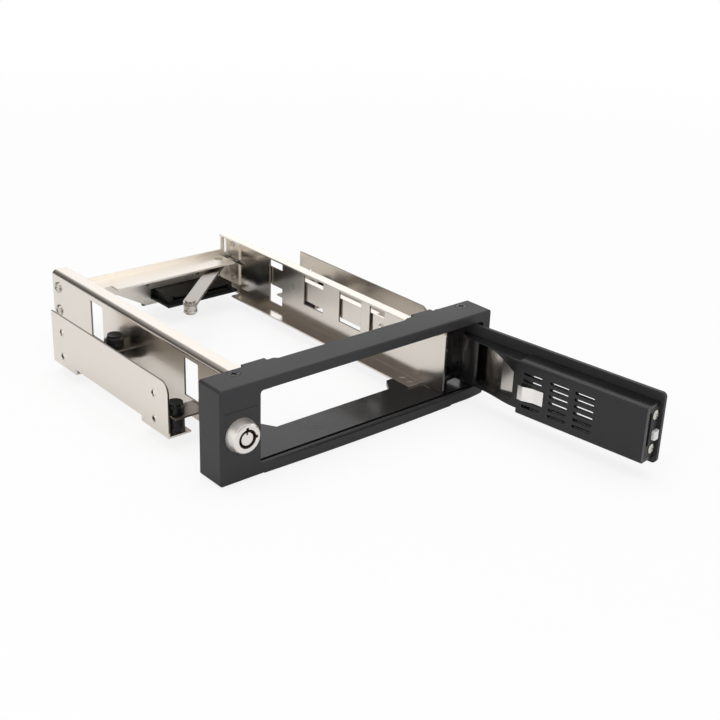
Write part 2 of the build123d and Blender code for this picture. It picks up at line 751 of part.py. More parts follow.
# Rear crossmember: back wall, shelf, side flanges and the tall right ear
with BuildPart() as rear_crossmember:
    with BuildSketch(Plane.XZ.offset(-cross_front)):
        with BuildLine():
            Polyline(
                (rail_left_in, cross_low_left),
                (cross_left_x - cross_slope, cross_low_left),
                (cross_left_x, cross_low),
                (rail_right_in, cross_low),
                (rail_right_in, ear_top - top_bend_r - 0.4),
                (rail_right_in - top_bend_r - 0.4, ear_top),
                (rail_right_in - ear_w, ear_top),
                (rail_right_in - ear_w, cross_top),
                (rail_left_in, cross_top),
                close=True,
            )
        make_face()
        # window for the receptacle, holes for the board's screws, and the slot in the ear
        with Locations((recept_x0 + recept_w / 2, recept_z + recept_h / 2)):
            Rectangle(recept_w + 2 * fit, recept_h + 2 * fit, mode=Mode.SUBTRACT)
        with Locations((board_screw_x0, board_screw_z), (board_screw_x1, board_screw_z)):
            Circle(board_screw_r, mode=Mode.SUBTRACT)
        with Locations((rail_right_in - ear_w / 2, ear_slot_z)):
            SlotCenterToCenter(7.8, ear_slot_w, rotation=90, mode=Mode.SUBTRACT)
    extrude(amount=-cross_t)
    # shelf, deeper over the connector and lever pivot
    with BuildSketch(Plane.XY.offset(shelf_z)):
        with BuildLine():
            Polyline(
                (rail_left_in, cross_front),
                (rail_left_in, cross_front - shelf_narrow),
                (shelf_step_x, cross_front - shelf_narrow),
                (shelf_step_x, cross_front - shelf_depth),
                (rail_right_in - shelf_end_gap, cross_front - shelf_depth),
                (rail_right_in - shelf_end_gap, cross_front),
                close=True,
            )
        make_face()
        with Locations((lever_x, lever_y)):
            Circle(pivot_r, mode=Mode.SUBTRACT)
    extrude(amount=-cross_t)
    # flanges folded forward against the rails
    with BuildSketch(Plane.YZ.offset(rail_left_in)):
        with Locations((cross_front - side_flange_len / 2, (cross_low_left - 3.0 + side_flange_top) / 2)):
            Rectangle(side_flange_len, side_flange_top - cross_low_left + 3.0)
        with Locations((cross_screw_y, cross_screw_low), (cross_screw_y, cross_screw_high)):
            Circle(screw_r, mode=Mode.SUBTRACT)
    extrude(amount=rail_t)
    with BuildSketch(Plane.YZ.offset(rail_right_in)):
        with Locations((cross_front - side_flange_len / 2, (side_flange_low + side_flange_top) / 2)):
            Rectangle(side_flange_len, side_flange_top - side_flange_low)
        with Locations((cross_screw_y, cross_screw_right_low), (cross_screw_y, cross_screw_right_high)):
            Circle(screw_r, mode=Mode.SUBTRACT)
    extrude(amount=-rail_t)
    with BuildSketch(Plane.YZ.offset(rail_right_in)):
        with Locations(((slot_front_y + slot_back_y) / 2, (slot_low + slot_high) / 2)):
            Rectangle(slot_back_y - slot_front_y, slot_high - slot_low)
    extrude(amount=-rail_t, mode=Mode.SUBTRACT)
rear_crossmember.part.label = "rear_crossmember"
export_step(rear_crossmember.part, "parts/rear_crossmember.step")

# Crossmember screws, pan heads on the outside of the rails
with BuildPart() as crossmember_screws:
    with BuildSketch(Plane.YZ.offset(rail_left_out)):
        with Locations((cross_screw_y, cross_screw_low), (cross_screw_y, cross_screw_high)):
            Circle(screw_head_r)
    extrude(amount=-1.3)
    with BuildSketch(Plane.YZ.offset(rail_left_out)):
        with Locations((cross_screw_y, cross_screw_low), (cross_screw_y, cross_screw_high)):
            Circle(screw_r)
    extrude(amount=2.4)
    with BuildSketch(Plane.YZ.offset(rail_right_out)):
        with Locations((cross_screw_y, cross_screw_right_low), (cross_screw_y, cross_screw_right_high)):
            Circle(screw_head_r)
    extrude(amount=1.3)
    with BuildSketch(Plane.YZ.offset(rail_right_out)):
        with Locations((cross_screw_y, cross_screw_right_low), (cross_screw_y, cross_screw_right_high)):
            Circle(screw_r)
    extrude(amount=-2.4)
crossmember_screws.part.label = "crossmember_screws"
export_step(crossmember_screws.part, "parts/crossmember_screws.step")

# Side bracket on the left: a plate with two inward tabs along its foot
with BuildPart() as bracket_left:
    with BuildSketch(Plane.YZ.offset(-bracket_out)):
        with BuildLine():
            Polyline(
                (bracket_front_y, bracket_tab_z),
                (bracket_front_y + bracket_tab_len, bracket_tab_z),
                (bracket_front_y + bracket_tab_len, bracket_low),
                (bracket_back - bracket_tab_len, bracket_low),
                (bracket_back - bracket_tab_len, bracket_tab_z),
                (bracket_back, bracket_tab_z),
                (bracket_back, bracket_top),
                (bracket_front_y, bracket_top),
                close=True,
            )
        make_face()
        with Locations((side_hole_first_y + side_hole_pitch_y / 2, side_hole_low_z + side_hole_pitch_z / 2)):
            with GridLocations(side_hole_pitch_y, side_hole_pitch_z, 2, 2):
                Circle(side_hole_r, mode=Mode.SUBTRACT)
    extrude(amount=bracket_t)
    fillet(
        bracket_left.edges().filter_by(Axis.X).group_by(Axis.Z)[-1].group_by(Axis.Y)[0],
        bracket_corner_r,
    )
    with BuildSketch(Plane.XY.offset(bracket_tab_z)):
        for tab_mid in (bracket_front_y + bracket_tab_len / 2, bracket_back - bracket_tab_len / 2):
            with Locations((-bracket_out + bracket_tab_w / 2, tab_mid)):
                Rectangle(bracket_tab_w, bracket_tab_len)
        with Locations((-grommet_x, grommet_front_y), (-grommet_x, grommet_rear_y)):
            Circle(tab_hole_r, mode=Mode.SUBTRACT)
    extrude(amount=bracket_t)
bracket_left.part.label = "bracket_left"
export_step(bracket_left.part, "parts/bracket_left.step")

# The right bracket is its mirror image
with BuildPart() as bracket_right:
    add(bracket_left.part)
    mirror(bracket_left.part, about=Plane.YZ)
    split(bisect_by=Plane.YZ, keep=Keep.TOP)
bracket_right.part.label = "bracket_right"
export_step(bracket_right.part, "parts/bracket_right.step")

# Rubber mounts: a waisted body on each bracket tab, gripping the rail's tab
grommet_foot = bracket_tab_z + bracket_t
neck_lo = grommet_tab_z - slide_fit / 2
neck_hi = grommet_tab_z + tab_plate_t + slide_fit / 2
with BuildPart() as rubber_mounts:
    for side in (-1, 1):
        for mount_y in (grommet_front_y, grommet_rear_y):
            with BuildSketch(Plane.XZ.offset(-mount_y)):
                with BuildLine():
                    Polyline(
                        (side * grommet_x, grommet_foot),
                        (side * grommet_x + grommet_r, grommet_foot),
                        (side * grommet_x + grommet_r, neck_lo),
                        (side * grommet_x + grommet_neck_r, neck_lo),
                        (side * grommet_x + grommet_neck_r, neck_hi),
                        (side * grommet_x + grommet_r, neck_hi),
                        (side * grommet_x + grommet_r, grommet_foot + grommet_h - 1.6),
                        (side * grommet_x + grommet_r - 0.5, grommet_foot + grommet_h - 1.0),
                        (side * grommet_x + grommet_r - 0.5, grommet_foot + grommet_h),
                        (side * grommet_x, grommet_foot + grommet_h),
                        close=True,
                    )
                make_face()
            revolve(axis=Axis((side * grommet_x, mount_y, 0), (0, 0, 1)))
    # the bumper hangs in its own rail tab
    with BuildSketch(Plane.XZ.offset(-bumper_y)):
        with BuildLine():
            Polyline(
                (bumper_x, bumper_tab_z - bumper_below),
                (bumper_x - grommet_r, bumper_tab_z - bumper_below),
                (bumper_x - grommet_r, bumper_tab_z),
                (bumper_x - grommet_neck_r, bumper_tab_z),
                (bumper_x - grommet_neck_r, bumper_tab_z + tab_plate_t + slide_fit / 2),
                (bumper_x - grommet_r, bumper_tab_z + tab_plate_t + slide_fit / 2),
                (bumper_x - grommet_r, bumper_tab_z - bumper_below + grommet_h - 1.6),
                (bumper_x - grommet_r + 0.5, bumper_tab_z - bumper_below + grommet_h - 1.0),
                (bumper_x - grommet_r + 0.5, bumper_tab_z - bumper_below + grommet_h),
                (bumper_x, bumper_tab_z - bumper_below + grommet_h),
                close=True,
            )
        make_face()
    revolve(axis=Axis((bumper_x, bumper_y, 0), (0, 0, 1)))
rubber_mounts.part.label = "rubber_mounts"
export_step(rubber_mounts.part, "parts/rubber_mounts.step")

# Screws from under the bracket tabs into the rubber mounts
with BuildPart() as mount_screws:
    for side in (-1, 1):
        with BuildSketch(Plane.XY.offset(bracket_tab_z)):
            with Locations((side * grommet_x, grommet_front_y), (side * grommet_x, grommet_rear_y)):
                Circle(tab_hole_r + 1.1)
        extrude(amount=-0.9)
        with BuildSketch(Plane.XY.offset(bracket_tab_z)):
            with Locations((side * grommet_x, grommet_front_y), (side * grommet_x, grommet_rear_y)):
                Circle(tab_hole_r)
        extrude(amount=bracket_t)
mount_screws.part.label = "mount_screws"
export_step(mount_screws.part, "parts/mount_screws.step")

# Hinge pins, pressed into the inner frame
pin_low_z = rail_low - 1.3
pin_high_z = open_high + 1.7
with BuildPart() as hinge_pins:
    with BuildSketch(Plane.XY.offset(pin_low_z)):
        with Locations((hinge_x, hinge_y)):
            Circle(hinge_pin_r)
    extrude(amount=hinge_pin_len)
    with BuildSketch(Plane.XY.offset(pin_high_z)):
        with Locations((hinge_x, hinge_y)):
            Circle(hinge_pin_r)
    extrude(amount=-hinge_pin_len)
hinge_pins.part.label = "hinge_pins"
export_step(hinge_pins.part, "parts/hinge_pins.step")

# Lock barrel with its chrome collar, nut, plug, cam and cam screw
with BuildPart() as lock_barrel:
    with BuildSketch(Plane.XY.offset(lock_z)):
        with BuildLine():
            Polyline(
                (lock_x + plug_r + pin_fit, bezel_front - lock_proud),
                (lock_x + lock_face_r - 0.5, bezel_front - lock_proud),
                (lock_x + lock_face_r, bezel_front - lock_proud + 0.5),
                (lock_x + lock_collar_r, bezel_front),
                (lock_x + barrel_r, bezel_front),
                (lock_x + barrel_r, bezel_front + barrel_len),
                (lock_x + plug_r + pin_fit, bezel_front + barrel_len),
                close=True,
            )
        make_face()
    revolve(axis=Axis((lock_x, 0, lock_z), (0, 1, 0)))
    # two notches in the face for the lugs of the key
    with BuildSketch(Plane.XZ.offset(flange_t + lock_proud)):
        with Locations((lock_x, lock_z + plug_r + 0.3), (lock_x + plug_r + 0.3, lock_z)):
            Rectangle(key_notch_w, key_notch_w)
    extrude(amount=-key_notch_depth, mode=Mode.SUBTRACT)
lock_barrel.part.label = "lock_barrel"
export_step(lock_barrel.part, "parts/lock_barrel.step")

with BuildPart() as lock_nut:
    with BuildSketch(Plane.XZ):
        with Locations((lock_x, lock_z)):
            RegularPolygon(nut_af / 2, 6, major_radius=False)
            Circle(barrel_r, mode=Mode.SUBTRACT)
    extrude(amount=-nut_t)
lock_nut.part.label = "lock_nut"
export_step(lock_nut.part, "parts/lock_nut.step")

with BuildPart() as lock_plug:
    with BuildSketch(Plane.XZ.offset(flange_t + lock_proud - 0.3)):
        with Locations((lock_x, lock_z)):
            Circle(plug_r)
    extrude(amount=-(flange_t + lock_proud - 0.3 + cam_y))
    # ring for the tubular key
    with BuildSketch(Plane.XZ.offset(flange_t + lock_proud - 0.3)):
        with Locations((lock_x, lock_z)):
            Circle(plug_r - plug_lip)
            Circle(plug_core_r, mode=Mode.SUBTRACT)
        with Locations((lock_x, lock_z + plug_r - 0.4), (lock_x + plug_r - 0.4, lock_z)):
            Rectangle(key_notch_w, key_notch_w)
        with Locations((lock_x, lock_z + plug_core_r - 0.4)):
            Rectangle(0.8, 1.4)
    extrude(amount=-plug_slot_depth, mode=Mode.SUBTRACT)
    with BuildSketch(Plane.XZ.offset(-cam_y)):
        with Locations((lock_x, lock_z)):
            Rectangle(3.2, 3.2)
    extrude(amount=-cam_t)
lock_plug.part.label = "lock_plug"
export_step(lock_plug.part, "parts/lock_plug.step")

with BuildPart() as lock_cam:
    with BuildSketch(Plane.XZ.offset(-cam_y)):
        with BuildLine():
            cam_base = CenterArc((lock_x, lock_z), cam_w / 2 + 0.6, 180, 180)
            cam_tip = CenterArc((lock_x, lock_z + cam_reach - cam_w / 2), cam_w / 2, 0, 180)
            Line(cam_base @ 1, cam_tip @ 0)
            Line(cam_tip @ 1, cam_base @ 0)
        make_face()
        with Locations((lock_x, lock_z)):
            Rectangle(3.2, 3.2, mode=Mode.SUBTRACT)
    extrude(amount=-cam_t)
lock_cam.part.label = "lock_cam"
export_step(lock_cam.part, "parts/lock_cam.step")

with BuildPart() as lock_cam_screw:
    with BuildSketch(Plane.XZ.offset(-(cam_y + cam_t))):
        with Locations((lock_x, lock_z)):
            Circle(2.8)
    extrude(amount=-1.2)
lock_cam_screw.part.label = "lock_cam_screw"
export_step(lock_cam_screw.part, "parts/lock_cam_screw.step")

# Door panel, seen from the front when the door is shut
vent_u1 = box_inner + 2.5
vent_u2 = box_inner + 16.2
vent_u3 = box_inner + 29.1
vent_mid_z = vent_low_z + (vent_rows - 1) * vent_pitch_z / 2
with BuildPart() as door_panel:
    with BuildSketch(door_face.offset(-door_inner)) as panel_outline:
        with BuildLine():
            Polyline(
                (-door_tail, door_neck_low),
                (door_neck_end - 4, door_neck_low),
                (door_neck_end + 6, door_low),
                (door_end, door_low),
                (door_end, door_high),
                (-door_tail, door_high),
                close=True,
            )
        make_face()
        fillet(panel_outline.vertices().sort_by(Axis.X)[-2:], door_corner_r)
    extrude(amount=-door_t)
    # soft outer edges along the top and at the hinge end
    fillet(door_panel.faces().sort_by(Axis((0, 0, 0), (-door_in[0], -door_in[1], 0)))[-1].edges(), 0.7)
    # air slots, out of line with those of the cover so that nothing reaches straight in
    with BuildSketch(door_face.offset(-door_inner)):
        with Locations((vent_u1 + 0.5, vent_mid_z + panel_vent_up)):
            with GridLocations(1, vent_pitch_z, 1, vent_rows):
                SlotOverall(panel_vent_w1, panel_vent_h)
        with Locations((vent_u2 + vent_w / 2 - panel_vent_back, vent_mid_z + panel_vent_up),
                       (vent_u3 + vent_w / 2 - panel_vent_back, vent_mid_z + panel_vent_up)):
            with GridLocations(1, vent_pitch_z, 1, vent_rows):
                SlotOverall(vent_w, panel_vent_h)
    extrude(amount=-door_t, mode=Mode.SUBTRACT)
door_panel.part.label = "door_panel"
export_step(door_panel.part, "parts/door_panel.step")

# Door cover: the box behind the panel, the thin neck and the hinge knuckles
neck_end = 5.6
arm_low_z = rail_low + 3.1 + fit
arm_high_z = open_high - 2.7 - fit
with BuildPart() as door_cover:
    with BuildSketch(door_plan.offset(box_low)):
        with Locations(((box_inner + box_outer) / 2, (box_face + door_inner) / 2)):
            Rectangle(box_outer - box_inner, door_inner - box_face)
    extrude(amount=box_high - box_low)
    # rounded long edges of the box
    fillet(
        door_cover.edges().filter_by(Axis(hinge_at, door_ax)).sort_by(
            Axis((0, 0, 0), door_in))[-2:],
        cover_t - 0.3,
    )
    with BuildSketch(door_plan.offset(neck_low)):
        with BuildLine():
            neck_curve = Spline(
                (box_inner, box_face + 0.6),
                (35.4, box_face + 1.4),
                (28.4, box_face + 3.0),
                (21.9, box_face + 3.9),
                (8.9, box_face + 6.2),
                (neck_end, door_inner - 0.9),
            )
            Line(neck_curve @ 1, (neck_end, door_inner))
            Line((neck_end, door_inner), (box_inner + cover_t, door_inner))
            Line((box_inner + cover_t, door_inner), (box_inner + cover_t, box_face + 0.6))
            Line((box_inner + cover_t, box_face + 0.6), neck_curve @ 0)
        make_face()
    extrude(amount=box_high - 1.0 - neck_low)
    # hollow of the box, open to the panel
    with BuildSketch(door_plan.offset(box_low + cover_t)):
        with Locations(((box_inner + box_outer) / 2, (box_face + cover_t + door_inner) / 2)):
            Rectangle(box_outer - box_inner - 2 * cover_t, door_inner - box_face - cover_t)
    extrude(amount=box_high - box_low - 2 * cover_t, mode=Mode.SUBTRACT)
    # hollow of the neck
    with BuildSketch(door_plan.offset(neck_low + cover_t)):
        with BuildLine():
            neck_inside = Spline(
                (box_inner - 1.0, box_face + cover_t + 0.2),
                (35.4, box_face + 1.2 + cover_t),
                (28.4, box_face + 3.0 + cover_t),
                (21.9, box_face + 3.9 + cover_t),
                (9.6, box_face + 6.1 + cover_t),
            )
            Line(neck_inside @ 1, (9.6, door_inner))
            Line((9.6, door_inner), (box_inner - 1.0, door_inner))
            Line((box_inner - 1.0, door_inner), neck_inside @ 0)
        make_face()
    extrude(amount=box_high - neck_low - 2 * cover_t, mode=Mode.SUBTRACT)
    # arched window in the neck that shows the steel band
    with BuildSketch(door_face.offset(-(box_face - 1))):
        with BuildLine():
            arch = ThreePointArc((box_inner - 3.0, band_high - 5.0), (31, band_high - 0.9), (neck_window_u, band_high))
            Line(arch @ 1, (neck_window_u, band_low))
            Line((neck_window_u, band_low), (box_inner - 3.0, band_low))
            Line((box_inner - 3.0, band_low), arch @ 0)
        make_face()
    extrude(amount=-(door_inner - box_face + 1), mode=Mode.SUBTRACT)
    # air slots
    with BuildSketch(door_face.offset(-box_face)):
        with Locations((vent_u1 + vent_w / 2, vent_mid_z), (vent_u2 + vent_w / 2, vent_mid_z),
                       (vent_u3 + vent_short_w / 2, vent_mid_z)):
            with GridLocations(1, vent_pitch_z, 1, vent_rows):
                SlotOverall(vent_short_w, vent_h)
    extrude(amount=-cover_t, mode=Mode.SUBTRACT)
    # plate between the knuckles, with two small slots
    with BuildSketch(door_plan.offset(arm_low_z + knuckle_h)):
        with Locations(((0.4 + neck_end + 1.0) / 2, door_inner - 0.45)):
            Rectangle(neck_end + 1.0 - 0.4, 0.9)
    extrude(amount=arm_high_z - arm_low_z - 2 * knuckle_h)
    with BuildSketch(door_face.offset(-(door_inner - 2))):
        with Locations((4.0, arm_high_z - knuckle_h - 3.4), (4.0, arm_low_z + knuckle_h + 3.6)):
            SlotOverall(3.4, 1.2, rotation=90)
    extrude(amount=-3, mode=Mode.SUBTRACT)
    # two hinge knuckles that also carry the crank pin
    for arm_z, arm_h in ((arm_low_z, knuckle_h), (arm_high_z, -knuckle_h)):
        with BuildSketch(door_plan.offset(arm_z)):
            with BuildLine():
                Polyline(
                    (-knuckle_r, 0),
                    (crank_u - 2.6, crank_v),
                    (crank_u - 2.6, door_inner),
                    (neck_end + 1.0, door_inner),
                    (neck_end + 1.0, door_inner - 0.9),
                    (knuckle_r - 0.5, door_inner - 0.9),
                    (knuckle_r - 0.5, 0),
                    close=True,
                )
            make_face()
            Circle(knuckle_r - 0.5)
        extrude(amount=arm_h)
        with BuildSketch(door_plan.offset(arm_z)):
            Circle(hinge_pin_r + pin_fit)
            with Locations((crank_u, crank_v)):
                Circle(crank_pin_r)
        extrude(amount=arm_h, mode=Mode.SUBTRACT)
    # keeper slot for the lock's cam, catch pocket and catch plate seat
    with BuildSketch(door_end_plane.offset(box_outer)):
        with Locations((door_outer - keeper_depth, lock_z + 1.5)):
            Rectangle(1.9, 15.0)
    extrude(amount=-cover_t, mode=Mode.SUBTRACT)
    with BuildSketch(door_end_plane.offset(box_outer)):
        with Locations((door_inner / 2 + 0.2, (box_low + box_high) / 2)):
            Rectangle(door_inner - 0.8, box_high - box_low - 3.0)
    extrude(amount=-catch_plate_t, mode=Mode.SUBTRACT)
    with BuildSketch(door_end_plane.offset(box_outer - cover_t)):
        with Locations((door_outer - catch_depth, catch_z)):
            Rectangle(catch_w + 2.6, catch_h + 2.6)
        with Locations((door_outer - catch_screw_depth, catch_screw_z), (door_outer - catch_screw_depth, catch_screw_low_z)):
            Circle(2.4)
    extrude(amount=-9.0)
    with BuildSketch(door_end_plane.offset(box_outer)):
        with Locations((door_outer - catch_depth, catch_z)):
            Rectangle(catch_w + 2 * slide_fit, catch_h + 2 * slide_fit)
    extrude(amount=-9.6, mode=Mode.SUBTRACT)
    with BuildSketch(door_end_plane.offset(box_outer)):
        with Locations((door_outer - catch_screw_depth, catch_screw_z), (door_outer - catch_screw_depth, catch_screw_low_z)):
            Circle(screw_r - 0.2)
    extrude(amount=-7.0, mode=Mode.SUBTRACT)
    split(bisect_by=door_face.offset(-door_inner), keep=Keep.TOP)
door_cover.part.label = "door_cover"
export_step(door_cover.part, "parts/door_cover.step")

# Steel band that stiffens the neck
with BuildPart() as door_band:
    with BuildSketch(door_plan.offset(band_low)):
        with BuildLine():
            Polyline(
                (band_from, door_inner),
                (17.4, door_inner),
                (31.4, door_inner - 3.4),
                (box_inner - 1.4, door_inner - 3.4),
                (box_inner - 1.4, door_inner - 3.4 - band_t),
                (31.3, door_inner - 3.4 - band_t),
                (17.3, door_inner - band_t),
                (band_from, door_inner - band_t),
                close=True,
            )
        make_face()
    extrude(amount=band_high - band_low)
door_band.part.label = "door_band"
export_step(door_band.part, "parts/door_band.step")

# Crank pin between the two knuckles
with BuildPart() as crank_pin:
    with BuildSketch(Plane.XY.offset(arm_low_z)):
        with Locations((crank_x, crank_y)):
            Circle(crank_pin_r)
    extrude(amount=arm_high_z - arm_low_z)
crank_pin.part.label = "crank_pin"
export_step(crank_pin.part, "parts/crank_pin.step")

# Catch plate, its screws and the sprung nylon catch in the door's free end
with BuildPart() as catch_plate:
    with BuildSketch(door_end_plane.offset(box_outer)):
        with Locations((door_inner / 2 + 0.2, (box_low + box_high) / 2)):
            Rectangle(door_inner - 0.8, box_high - box_low - 3.0)
        with Locations((door_outer - keeper_depth, lock_z + 1.5)):
            Rectangle(1.9, 15.0, mode=Mode.SUBTRACT)
        with Locations((door_outer - catch_depth, catch_z)):
            Rectangle(catch_w + 2 * slide_fit, catch_h + 2 * slide_fit, mode=Mode.SUBTRACT)
        with Locations((door_outer - catch_screw_depth, catch_screw_z), (door_outer - catch_screw_depth, catch_screw_low_z)):
            Circle(screw_r - 0.2, mode=Mode.SUBTRACT)
    extrude(amount=-catch_plate_t)
catch_plate.part.label = "catch_plate"
export_step(catch_plate.part, "parts/catch_plate.step")

with BuildPart() as catch_screws:
    with BuildSketch(door_end_plane.offset(box_outer)):
        with Locations((door_outer - catch_screw_depth, catch_screw_z), (door_outer - catch_screw_depth, catch_screw_low_z)):
            Circle(2.2)
    extrude(amount=0.7)
    with BuildSketch(door_end_plane.offset(box_outer)):
        with Locations((door_outer - catch_screw_depth, catch_screw_z), (door_outer - catch_screw_depth, catch_screw_low_z)):
            Circle(screw_r - 0.2)
    extrude(amount=-6.0)
catch_screws.part.label = "catch_screws"
export_step(catch_screws.part, "parts/catch_screws.step")

with BuildPart() as door_catch:
    with BuildSketch(door_end_plane.offset(door_end - slide_fit)):
        with Locations((door_outer - catch_depth, catch_z)):
            Rectangle(catch_w, catch_h)
    extrude(amount=-(door_end - slide_fit - box_outer + 9.6 - catch_stroke - 0.4))
    fillet(door_catch.faces().sort_by(Axis((0, 0, 0), door_ax))[-1].edges().filter_by(Axis.Z), 0.8)
door_catch.part.label = "door_catch"
export_step(door_catch.part, "parts/door_catch.step")

# Leaf spring on the box that presses on the drive
leaf_z = 19.3
leaf_h = 6.6
with BuildPart() as leaf_spring:
    with BuildSketch(door_plan.offset(leaf_z - leaf_h / 2)):
        with BuildLine():
            Polyline(
                (box_inner + 13.8, box_face),
                (box_inner + 9.0, box_face),
                (box_inner + 4.0, box_face - 1.6),
                (box_inner + 1.4, box_face - 1.2),
                (box_inner + 1.3, box_face - 1.7),
                (box_inner + 4.0, box_face - 2.1),
                (box_inner + 9.1, box_face - 0.5),
                (box_inner + 13.8, box_face - 0.5),
                close=True,
            )
        make_face()
    extrude(amount=leaf_h)
leaf_spring.part.label = "leaf_spring"
export_step(leaf_spring.part, "parts/leaf_spring.step")

# Eject slider outside the right rail, with the yoke that the crank pin moves
yoke_front = crank_y - crank_pin_r - yoke_play_front
yoke_back = crank_y + crank_pin_r + yoke_play_rear
guide_mid_z = (slider_low + slider_high) / 2
with BuildPart() as eject_slider:
    with BuildSketch(Plane.YZ.offset(slider_in)):
        with BuildLine():
            Polyline(
                (yoke_front - yoke_wall, yoke_z),
                (yoke_back + yoke_wall + 2, yoke_z),
                (yoke_back + yoke_wall + 5, slider_low),
                (lever_tip_y + 4.6, slider_low),
                (lever_tip_y + 4.6, slider_high - 2),
                (lever_tip_y + 2.6, slider_high),
                (30, slider_high),
                (yoke_back + yoke_wall + 2, yoke_z + 5),
                (yoke_front - yoke_wall, yoke_z + 5),
                close=True,
            )
        make_face()
        # guide slots, long enough for the travel
        with Locations(
            (guide_y1 + slide_travel / 2, guide_mid_z),
            (guide_y2 + slide_travel / 2, guide_mid_z),
            (guide_y3 + slide_travel / 2, guide_mid_z),
        ):
            SlotCenterToCenter(slide_travel + 0.3, 2 * (rivet_r + slide_fit), mode=Mode.SUBTRACT)
        # hole round the lever's short arm
        with Locations((lever_tip_y, lever_z + lever_t / 2)):
            Rectangle(2 * (short_tip_r + slide_fit), lever_t + 1.2, mode=Mode.SUBTRACT)
    extrude(amount=slider_t)
    # folded upper edge
    with BuildSketch(Plane.YZ.offset(slider_in)):
        with Locations(((ledge_front_y + ledge_back_y) / 2, slider_high - ledge_t / 2)):
            Rectangle(ledge_back_y - ledge_front_y, ledge_t)
    extrude(amount=ledge_w)
    # yoke
    with BuildSketch(Plane.XY.offset(yoke_z)):
        with BuildLine():
            Polyline(
                (slider_in, yoke_front - yoke_wall),
                (yoke_reach, yoke_front - yoke_wall),
                (yoke_reach, yoke_front),
                (slider_out + 3.2, yoke_front),
                (slider_out + 3.2, yoke_back),
                (yoke_reach, yoke_back),
                (yoke_reach, yoke_back + yoke_wall),
                (slider_in, yoke_back + yoke_wall),
                close=True,
            )
        make_face()
    extrude(amount=yoke_t)
eject_slider.part.label = "eject_slider"
export_step(eject_slider.part, "parts/eject_slider.step")

# Shoulder rivets that guide the slider
with BuildPart() as slider_rivets:
    with BuildSketch(Plane.YZ.offset(rail_right_in)):
        with Locations((guide_y1, guide_mid_z), (guide_y2, guide_mid_z), (guide_y3, guide_mid_z)):
            Circle(rivet_r)
    extrude(amount=slider_out + slide_fit - rail_right_in)
    with BuildSketch(Plane.YZ.offset(slider_out + slide_fit)):
        with Locations((guide_y1, guide_mid_z), (guide_y2, guide_mid_z), (guide_y3, guide_mid_z)):
            Circle(rivet_head_r)
    extrude(amount=rivet_head_t)
slider_rivets.part.label = "slider_rivets"
export_step(slider_rivets.part, "parts/slider_rivets.step")

# Eject lever: long arm towards the drive, short arm into the slider
long_a = radians(lever_rest)
short_a = radians(short_rest)
with BuildPart() as eject_lever:
    with BuildSketch(Plane.XY.offset(lever_z)):
        with Locations((lever_x, lever_y)):
            Circle(lever_w / 2 + 0.5)
        with Locations(Location(((lever_x + roller_x) / 2, (lever_y + roller_y) / 2, 0), (0, 0, lever_rest))):
            SlotCenterToCenter(lever_len, lever_w)
        with Locations(Location(((lever_x + lever_tip_x) / 2, (lever_y + lever_tip_y) / 2, 0), (0, 0, short_rest))):
            Rectangle(short_arm, short_w)
        with Locations((lever_tip_x, lever_tip_y)):
            Circle(short_tip_r)
        with Locations((lever_x, lever_y)):
            Circle(pivot_r + pin_fit, mode=Mode.SUBTRACT)
        with Locations((roller_x, roller_y)):
            Circle(rivet_r, mode=Mode.SUBTRACT)
    extrude(amount=lever_t)
eject_lever.part.label = "eject_lever"
export_step(eject_lever.part, "parts/eject_lever.step")

# Shoulder rivet that hangs the lever from the shelf
shelf_under = shelf_z - cross_t
with BuildPart() as lever_pivot:
    with BuildSketch(Plane.XY.offset(lever_z - slide_fit)):
        with Locations((lever_x, lever_y)):
            Circle(pivot_r)
    extrude(amount=shelf_z - lever_z + slide_fit)
    with BuildSketch(Plane.XY.offset(lever_z - slide_fit)):
        with Locations((lever_x, lever_y)):
            Circle(pivot_head_r)
    extrude(amount=-pivot_head_t)
    with BuildSketch(Plane.XY.offset(lever_z + lever_t + slide_fit)):
        with Locations((lever_x, lever_y)):
            Circle(pivot_head_r)
    extrude(amount=shelf_under - lever_z - lever_t - slide_fit)
lever_pivot.part.label = "lever_pivot"
export_step(lever_pivot.part, "parts/lever_pivot.step")

# Stepped roller under the lever's end, and its rivet
roller_top = lever_z - slide_fit
roller_low = roller_top - roller_h
with BuildPart() as lever_roller:
    with BuildSketch(Plane.XZ.offset(-roller_y)):
        with BuildLine():
            Polyline(
                (roller_x + rivet_r + pin_fit, roller_low),
                (roller_x + roller_r, roller_low),
                (roller_x + roller_r, roller_low + 1.0),
                (roller_x + roller_neck_r, roller_low + 1.0),
                (roller_x + roller_neck_r, roller_low + 1.7),
                (roller_x + roller_r - 0.1, roller_low + 1.7),
                (roller_x + roller_r - 0.1, roller_top),
                (roller_x + rivet_r + pin_fit, roller_top),
                close=True,
            )
        make_face()
    revolve(axis=Axis((roller_x, roller_y, 0), (0, 0, 1)))
lever_roller.part.label = "lever_roller"
export_step(lever_roller.part, "parts/lever_roller.step")

with BuildPart() as roller_rivet:
    with BuildSketch(Plane.XY.offset(roller_low - slide_fit)):
        with Locations((roller_x, roller_y)):
            Circle(rivet_r)
    extrude(amount=lever_z + lever_t - roller_low + slide_fit)
    with BuildSketch(Plane.XY.offset(roller_low - slide_fit)):
        with Locations((roller_x, roller_y)):
            Circle(rivet_head_r - 0.4)
    extrude(amount=-0.7)
    with BuildSketch(Plane.XY.offset(lever_z + lever_t)):
        with Locations((roller_x, roller_y)):
            Circle(rivet_head_r - 0.4)
    extrude(amount=0.7)
roller_rivet.part.label = "roller_rivet"
export_step(roller_rivet.part, "parts/roller_rivet.step")

